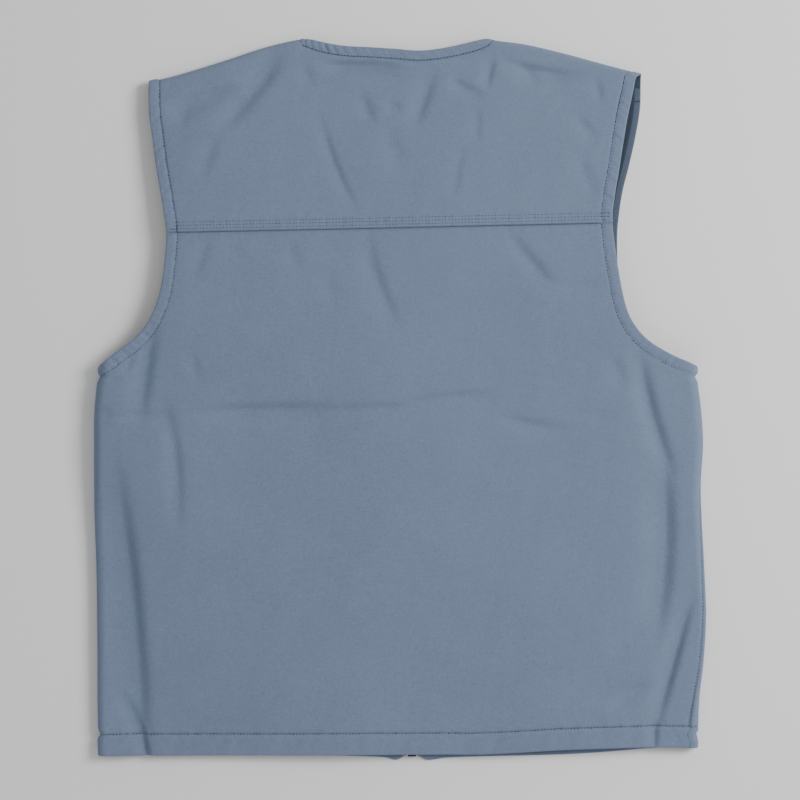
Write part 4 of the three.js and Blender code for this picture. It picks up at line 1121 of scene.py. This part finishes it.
def neck_stations():
    """Stations along the neck seam from the zip's left edge round the back of the neck to its right edge."""
    across, run = neck_front(NECK_FRONT_STATIONS)
    wrap = np.linspace(NECK_QUARTER + YOKE_WRAP, NECK_QUARTER, NECK_WRAP_STATIONS + 1)[1:]
    fold = np.linspace(NECK_QUARTER, -NECK_QUARTER, NECK_FOLD_STATIONS + 1)[1:]
    runs = np.append(wrap, fold)
    half_x = np.append(across, neck_side(runs))
    half_run = np.append(run, runs)
    back = np.linspace(-1, 1, NECK_BACK_STATIONS + 1)[1:-1]
    back_run = -NECK_QUARTER - BACK_NECK_DEPTH * read(BACK_NECK_LINE, "across", "down", back)
    x = np.concatenate([NECK_SHIFT - half_x, NECK_SHIFT + NECK_AT_FOLD * back, (NECK_SHIFT + half_x)[::-1]])
    return x, np.concatenate([half_run, back_run, half_run[::-1]])


def smoothed(values, count):
    """Values along a line, each the mean of its neighbours."""
    padded = np.pad(values, count // 2, mode="edge")
    return np.convolve(padded, np.ones(count) / count, mode="valid")


def neck_edge(materials):
    """The binding of the neck edge, gathered at its left end."""
    x, run = neck_stations()
    seam = np.stack([x, run], -1)
    along = np.gradient(seam, axis=0)
    along[[0, -1]] = (-1, 0)
    along = np.stack([smoothed(along[:, k], 7) for k in range(2)], -1)
    along /= np.linalg.norm(along, axis=1, keepdims=True)
    inward = np.stack([-along[:, 1], along[:, 0]], -1)
    widths = BINDING_WIDTH * np.array(BINDING_SHARES)
    grid = seam[:, None, :] + inward[:, None, :] * widths[None, :, None]
    point, normal = placed(on_shoulder, grid[..., 0], grid[..., 1])
    from_seam = np.broadcast_to(widths, point.shape[:2])
    from_edge = BINDING_WIDTH - from_seam
    half = band_half(from_edge, from_seam)
    length = lengths(point, 0)[:, :1]
    gathered = hump(point[..., 0], -GATHER_CENTRE, GATHER_REACH) * smooth(*GATHER_HEIGHTS, point[..., 1])
    slant = length - from_edge * GATHER_SLANT + GATHER_SWAY * np.sin(length / GATHER_SWAY_REACH)
    pleats = np.abs(np.sin(math.pi * slant / GATHER_PITCH)) ** 0.5
    relief = GATHER_DEPTH * gathered * (pleats - GATHER_LEVEL) + puckers("binding", slant)
    up = half + into_band(from_edge, BINDING_WIDTH, 0.6) * relief
    # Painted shade: the binding's inner face takes the second slot, the less dark shade.
    piece = sheet_piece("neck_binding_cloth", point, normal, up, half, materials)
    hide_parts("neck_binding")
    outer = point + normal * up[..., None]
    return piece, (outer[:, 0], normal[:, 0])


def along_path(points, normals, places):
    """Points and normals at distances along a path."""
    gone = lengths(points, 0)
    spot = np.stack([np.interp(places, gone, points[:, k]) for k in range(3)], -1)
    facing = np.stack([np.interp(places, gone, normals[:, k]) for k in range(3)], -1)
    return spot, facing / np.linalg.norm(facing, axis=1, keepdims=True)


def unit(way):
    """A direction's unit vector."""
    return way / np.linalg.norm(way)


def ring_round(centre, first, second):
    """Corners round a place, by the two half widths of their ring."""
    angles = np.arange(THREAD_SIDES) * 2 * math.pi / THREAD_SIDES
    return [centre + first * math.cos(angle) + second * math.sin(angle) for angle in angles]


def thread_faces(start):
    """Faces of one stitch's thread, from the number of its first point."""
    rings = len(THREAD_SHAPE["along"])
    faces = []
    for ring in range(rings - 1):
        for s in range(THREAD_SIDES):
            a = start + ring * THREAD_SIDES + s
            b = start + ring * THREAD_SIDES + (s + 1) % THREAD_SIDES
            faces.append([a, b, b + THREAD_SIDES, a + THREAD_SIDES])
    faces.append([start + s for s in reversed(range(THREAD_SIDES))])
    faces.append([start + (rings - 1) * THREAD_SIDES + s for s in range(THREAD_SIDES)])
    return faces


def stitches(name, paths, materials, seed):
    """Sewn threads along paths, each dipping into the cloth at both ends, with a dark disc of painted shade
    at the needle hole between.
    """
    chance = np.random.default_rng(seed)
    points, faces, kinds = [], [], []
    for path, facing in paths:
        total = float(lengths(path, 0)[-1])
        count = int(total / STITCH_PITCH)
        middles = (np.arange(count) + 0.5) * total / count + chance.normal(0, STITCH_WANDER, count)
        before, _ = along_path(path, facing, middles - STITCH_LENGTH / 2)
        after, _ = along_path(path, facing, middles + STITCH_LENGTH / 2)
        middle, up = along_path(path, facing, middles)
        for k in range(count):
            way = unit(after[k] - before[k])
            side = unit(np.cross(up[k], way))
            lean = side * chance.normal(0, STITCH_LEAN)
            thread = thread_faces(len(points))
            faces += thread
            kinds += [0] * len(thread)
            for along, swell, lift in zip(*THREAD_SHAPE.values()):
                centre = middle[k] + (way * STITCH_LENGTH / 2 + lean) * along + up[k] * lift
                points += ring_round(centre, side * swell * THREAD / 2, up[k] * swell * THREAD / 2)
        # Each needle hole is a flat dark disc just over the cloth: painted shade for the hole's shadow.
        hole_shades = (np.arange(count - 1) + 1) * total / count
        hole, up = along_path(path, facing, hole_shades)
        ahead, _ = along_path(path, facing, hole_shades + 0.2)
        for k in range(count - 1):
            way = unit(ahead[k] - hole[k])
            long = HOLE_LENGTH / 2 * chance.uniform(0.5, 1.35)
            wide = HOLE_WIDTH / 2 * chance.uniform(0.6, 1.2)
            faces.append([len(points) + s for s in range(THREAD_SIDES)])
            kinds.append(1)
            points += ring_round(hole[k] + up[k] * HOLE_LIFT, way * long, np.cross(up[k], way) * wide)
    mesh = mesh_of(name, points, faces)
    mesh.polygons.foreach_set("material_index", kinds)
    return new_object(name, mesh, materials)


def zip_block(name, size, across, start, low, material, bevel=0):
    """A block of the zip by its width, length and height and its place, turned with the zip."""
    _, length, height = size
    up = start + length / 2
    x = float(zip_centre(ZIP_BOTTOM)) + across * math.cos(ZIP_TURN) - up * math.sin(ZIP_TURN)
    y = ZIP_BOTTOM + across * math.sin(ZIP_TURN) + up * math.cos(ZIP_TURN)
    centre = np.array([x, y, low + height / 2]) * METRES
    bpy.ops.mesh.primitive_cube_add(size=1, location=centre, rotation=(0, 0, ZIP_TURN))
    piece = bpy.context.object
    piece.name = name
    piece.scale = np.array(size) * METRES
    bpy.ops.object.transform_apply(location=False, rotation=False, scale=True)
    if bevel:
        rounding = piece.modifiers.new("rounding", "BEVEL")
        rounding.width = bevel * METRES
        rounding.segments = 2 if length > TOOTH_PITCH else 1
        bpy.ops.object.modifier_apply(modifier=rounding.name)
    bpy.ops.object.transform_apply(location=True, rotation=True, scale=False)
    piece.data.materials.append(material)
    return piece


def joined(name, parts):
    """Joins parts into one piece whose place stays in its mesh."""
    bpy.ops.object.select_all(action="DESELECT")
    for part in parts:
        part.select_set(True)
    bpy.context.view_layer.objects.active = parts[0]
    bpy.ops.object.join()
    parts[0].name = name
    parts[0].data.name = name
    return parts[0]


def tooth_row(name, side, middle, first, last, black):
    """One side's teeth: a tooth is modelled once, at the hem, and copied up the zip."""
    width = TEETH_WIDTH * TOOTH_REACH
    size = (width, TOOTH_PITCH * TOOTH_FILL, TOOTH_HEIGHT)
    across = side * (TEETH_WIDTH - width) / 2
    tooth = zip_block(name, size, across, first, middle - TOOTH_HEIGHT / 2, black, TOOTH_BEVEL)
    step = TOOTH_PITCH * METRES * np.array([-math.sin(ZIP_TURN), math.cos(ZIP_TURN), 0])
    teeth = [tooth]
    for k in range(1, int((last - first) / TOOTH_PITCH)):
        copy = tooth.copy()
        copy.data = tooth.data.copy()
        bpy.context.scene.collection.objects.link(copy)
        copy.location = step * k
        teeth.append(copy)
    return joined(name, teeth)


def zip_pieces(tape_material, black):
    """The closed zip: two tapes, their teeth and the box at the hem."""
    length = Y_NECK_BOTTOM - ZIP_BOTTOM - BINDING_WIDTH
    tape_low = DOUBLED + SEAM_GAP
    middle = tape_low + TAPE_WALL / 2
    start = BOX_LENGTH + SEAM_GAP
    end = length - SLIDER_LENGTH / 2
    tape_size = (TAPE_WIDTH, length - start, TAPE_WALL)
    made = []
    for side, word in ((-1, "left"), (1, "right")):
        across = side * (TEETH_WIDTH / 2 + SEAM_GAP + TAPE_WIDTH / 2)
        tape = zip_block("tape_" + word, tape_size, across, start, tape_low, tape_material)
        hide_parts("zip_tape_" + word)
        offset = TOOTH_PITCH / 2 if side > 0 else 0
        teeth = tooth_row("teeth_" + word, side, middle, start + offset, end - TOOTH_PITCH, black)
        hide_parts("zip_teeth_" + word)
        made += [tape, teeth]
    box_size = (BOX_WIDTH, BOX_LENGTH, BOX_HEIGHT)
    box = zip_block("zip_end", box_size, 0, 0, middle - BOX_HEIGHT / 2, black, BOX_BEVEL)
    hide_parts("zip_box")
    return made + [box]


def nodes_of(material):
    """A material's node tree, emptied."""
    material.use_nodes = True
    tree = material.node_tree
    tree.nodes.clear()
    return tree


def add_node(tree, kind, **values):
    """A node with its inputs and settings by name."""
    node = tree.nodes.new(kind)
    for name, value in values.items():
        if name in node.inputs:
            node.inputs[name].default_value = value
        else:
            setattr(node, name, value)
    return node


def canvas_material(name, colour, threads_apart=THREADS_APART):
    """Canvas: a plain weave of uneven threads, with a soft heather of light and dark."""
    material = bpy.data.materials.new(name)
    tree = nodes_of(material)
    link = tree.links.new
    place = add_node(tree, "ShaderNodeTexCoord")
    parts = add_node(tree, "ShaderNodeSeparateXYZ")
    link(place.outputs["Object"], parts.inputs[0])

    def math_node(operation, *values):
        """One sum over other nodes' outputs and numbers."""
        node = add_node(tree, "ShaderNodeMath", operation=operation)
        for k, value in enumerate(values):
            if isinstance(value, (int, float)):
                node.inputs[k].default_value = value
            else:
                link(value, node.inputs[k])
        return node.outputs[0]

    def noise(scale, detail, rough):
        """Soft noise over the cloth."""
        node = add_node(tree, "ShaderNodeTexNoise", Scale=scale, Detail=detail, Roughness=rough)
        link(place.outputs["Object"], node.inputs["Vector"])
        return node.outputs["Fac"]

    def streaks(along_x, along_y):
        """Uneven threads drawn out along one direction."""
        mapping = add_node(tree, "ShaderNodeMapping", vector_type="POINT")
        mapping.inputs["Scale"].default_value = (along_x, along_y, 300)
        link(place.outputs["Object"], mapping.inputs["Vector"])
        node = add_node(tree, "ShaderNodeTexNoise", Scale=1.0, Detail=2.5, Roughness=0.6)
        link(mapping.outputs[0], node.inputs["Vector"])
        return node.outputs["Fac"]

    def waves(axis, wobble):
        """Threads across one axis, pushed about by noise."""
        turns = math_node("MULTIPLY", parts.outputs[axis], 2 * math.pi / threads_apart)
        return math_node("SINE", math_node("ADD", turns, wobble))

    def summed(shares):
        """The patterns added up by their shares."""
        total = 0.0
        for pattern, share in shares.items():
            total = math_node("ADD", total, math_node("MULTIPLY", patterns[pattern], share))
        return total

    patterns = {kind: noise(*values) for kind, values in NOISES.items()}
    patterns.update({kind: streaks(*scales) for kind, scales in STREAKS.items()})
    across, along = (waves(k, math_node("MULTIPLY", patterns["wobble"], WOBBLES[k])) for k in (0, 1))
    patterns["weave"] = math_node("MULTIPLY", across, along)
    tinted = add_node(tree, "ShaderNodeMix", data_type="RGBA", blend_type="MULTIPLY")
    tinted.inputs["Factor"].default_value = 1.0
    tinted.inputs["A"].default_value = (*colour, 1)
    link(math_node("ADD", summed(TONE), TONE_BASE), tinted.inputs["B"])
    bump = add_node(tree, "ShaderNodeBump", Strength=0.5, Distance=0.0003)
    link(summed(RELIEF), bump.inputs["Height"])
    surface = add_node(tree, "ShaderNodeBsdfPrincipled", Roughness=0.95)
    surface.inputs["Specular IOR Level"].default_value = 0.15
    surface.inputs["Sheen Weight"].default_value = 0.12
    surface.inputs["Sheen Roughness"].default_value = 0.6
    link(tinted.outputs["Result"], surface.inputs["Base Color"])
    link(bump.outputs["Normal"], surface.inputs["Normal"])
    out = add_node(tree, "ShaderNodeOutputMaterial")
    link(surface.outputs[0], out.inputs["Surface"])
    return material


def plain_material(name, colour, roughness, bump_scale=0, bump_depth=0.0):
    """One even colour, with a fine grain where a bump is given."""
    material = bpy.data.materials.new(name)
    tree = nodes_of(material)
    link = tree.links.new
    surface = add_node(tree, "ShaderNodeBsdfPrincipled", Roughness=roughness)
    surface.inputs["Base Color"].default_value = (*colour, 1)
    if bump_scale:
        place = add_node(tree, "ShaderNodeTexCoord")
        grain = add_node(tree, "ShaderNodeTexNoise", Scale=bump_scale, Detail=3)
        link(place.outputs["Object"], grain.inputs["Vector"])
        bump = add_node(tree, "ShaderNodeBump", Strength=0.4, Distance=bump_depth)
        link(grain.outputs["Fac"], bump.inputs["Height"])
        link(bump.outputs["Normal"], surface.inputs["Normal"])
    out = add_node(tree, "ShaderNodeOutputMaterial")
    link(surface.outputs[0], out.inputs["Surface"])
    return material


def soft_floor():
    """The pale floor, which isn't part of the vest."""
    mesh = bpy.data.meshes.new("floor")
    signs = [(-1, -1), (1, -1), (1, 1), (-1, 1)]
    corners = [(FLOOR_REACH * x, FLOOR_REACH * y, 0) for x, y in signs]
    mesh.from_pydata(corners, [], [(0, 1, 2, 3)])
    floor = new_object("floor", mesh, [plain_material("floor_white", FLOOR_COLOUR, 1.0)])


def soft_light(row):
    """One square light that faces the vest."""
    light = bpy.data.lights.new(row["name"], "AREA")
    light.shape = "SQUARE"
    light.size = row["size"]
    light.energy = row["power"]
    item = bpy.data.objects.new(row["name"], light)
    bpy.context.scene.collection.objects.link(item)
    around = math.radians(row["around"])
    tilt = math.radians(90 - row["up"])
    way = (math.sin(tilt) * math.cos(around), math.sin(tilt) * math.sin(around), math.cos(tilt))
    item.location = [row["far"] * part for part in way]
    item.rotation_euler = (0, tilt, around)


def studio():
    """A pale floor, soft light that is stronger from the right, and the camera straight above."""
    soft_floor()
    world = bpy.data.worlds.new("studio")
    world.use_nodes = True
    background = world.node_tree.nodes["Background"]
    background.inputs["Color"].default_value = (1, 1, 1, 1)
    background.inputs["Strength"].default_value = WORLD_LIGHT
    bpy.context.scene.world = world
    for row in LIGHTS:
        soft_light(row)
    lens = bpy.data.cameras.new("camera")
    lens.lens = CAMERA_LENS
    lens.sensor_width = CAMERA_SENSOR
    lens.clip_end = 20
    camera = bpy.data.objects.new("camera", lens)
    bpy.context.scene.collection.objects.link(camera)
    height = CAMERA_FIELD * CAMERA_LENS / CAMERA_SENSOR + CHEST_LIFT * FIELD_HEIGHT
    camera.location = (0, 0, height * METRES)
    bpy.context.scene.camera = camera


def main():
    """Builds the vest's cloth, stitches and zip over the part, and the studio round it."""
    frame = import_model()
    bpy.ops.object.select_all(action="DESELECT")
    canvas = canvas_material("canvas", CANVAS_COLOUR)
    # Painted shade: a darker copy of the canvas for the inner faces of the back, yoke, back hem and fronts,
    # and of the armhole bands away from their edge strips.
    inside_shade = canvas_material("canvas_inside_shade", INSIDE_SHADE_COLOUR)
    # Painted shade: a less dark copy for the inner faces of the armhole bands' edge strips and of the neck
    # binding.
    facing = canvas_material("canvas_facing_shade", FACING_SHADE_COLOUR)
    body = [canvas, inside_shade]
    edge = [canvas, facing, inside_shade]
    tape_material = canvas_material("zip_tape", CANVAS_COLOUR, TAPE_THREADS_APART)
    black = plain_material("zip_black", ZIP_COLOUR, 0.45, 900, 0.0001)
    thread = plain_material("thread", THREAD_COLOUR, 0.8, 2500, 0.0001)
    # Painted shade: the dark colour of the needle holes' discs.
    hole_shades = plain_material("needle_hole_shade", HOLE_SHADE_COLOUR, 1.0)
    pieces = [back_panel(body)]
    yoke_piece, yoke_rows = yoke(body)
    hem, hem_row = back_hem(body)
    pieces += [yoke_piece, hem, front_panel(-1, body), front_panel(1, body)]
    paths = {"yoke": yoke_rows, "hem": [hem_row], "armholes": [], "neck": [], "sides": []}
    for side in (-1, 1):
        front, row = front_hem(side, [canvas, canvas])
        paths["hem"].append(row)
        band, band_row = armhole_band(side, edge)
        paths["armholes"].append(band_row)
        paths["sides"].append(side_row(side))
        pieces += [front, band]
    binding, binding_row = neck_edge(edge)
    paths["neck"].append(binding_row)
    pieces.append(binding)
    for k, (word, rows) in enumerate(paths.items()):
        pieces.append(stitches("stitches_" + word, rows, [thread, hole_shades], 70 + k))
    pieces += zip_pieces(tape_material, black)
    slider = frame["nodes"]["zip_slider"]
    slider.data.materials.clear()
    slider.data.materials.append(black)
    for piece in pieces:
        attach(piece, "root")
    studio()


main()
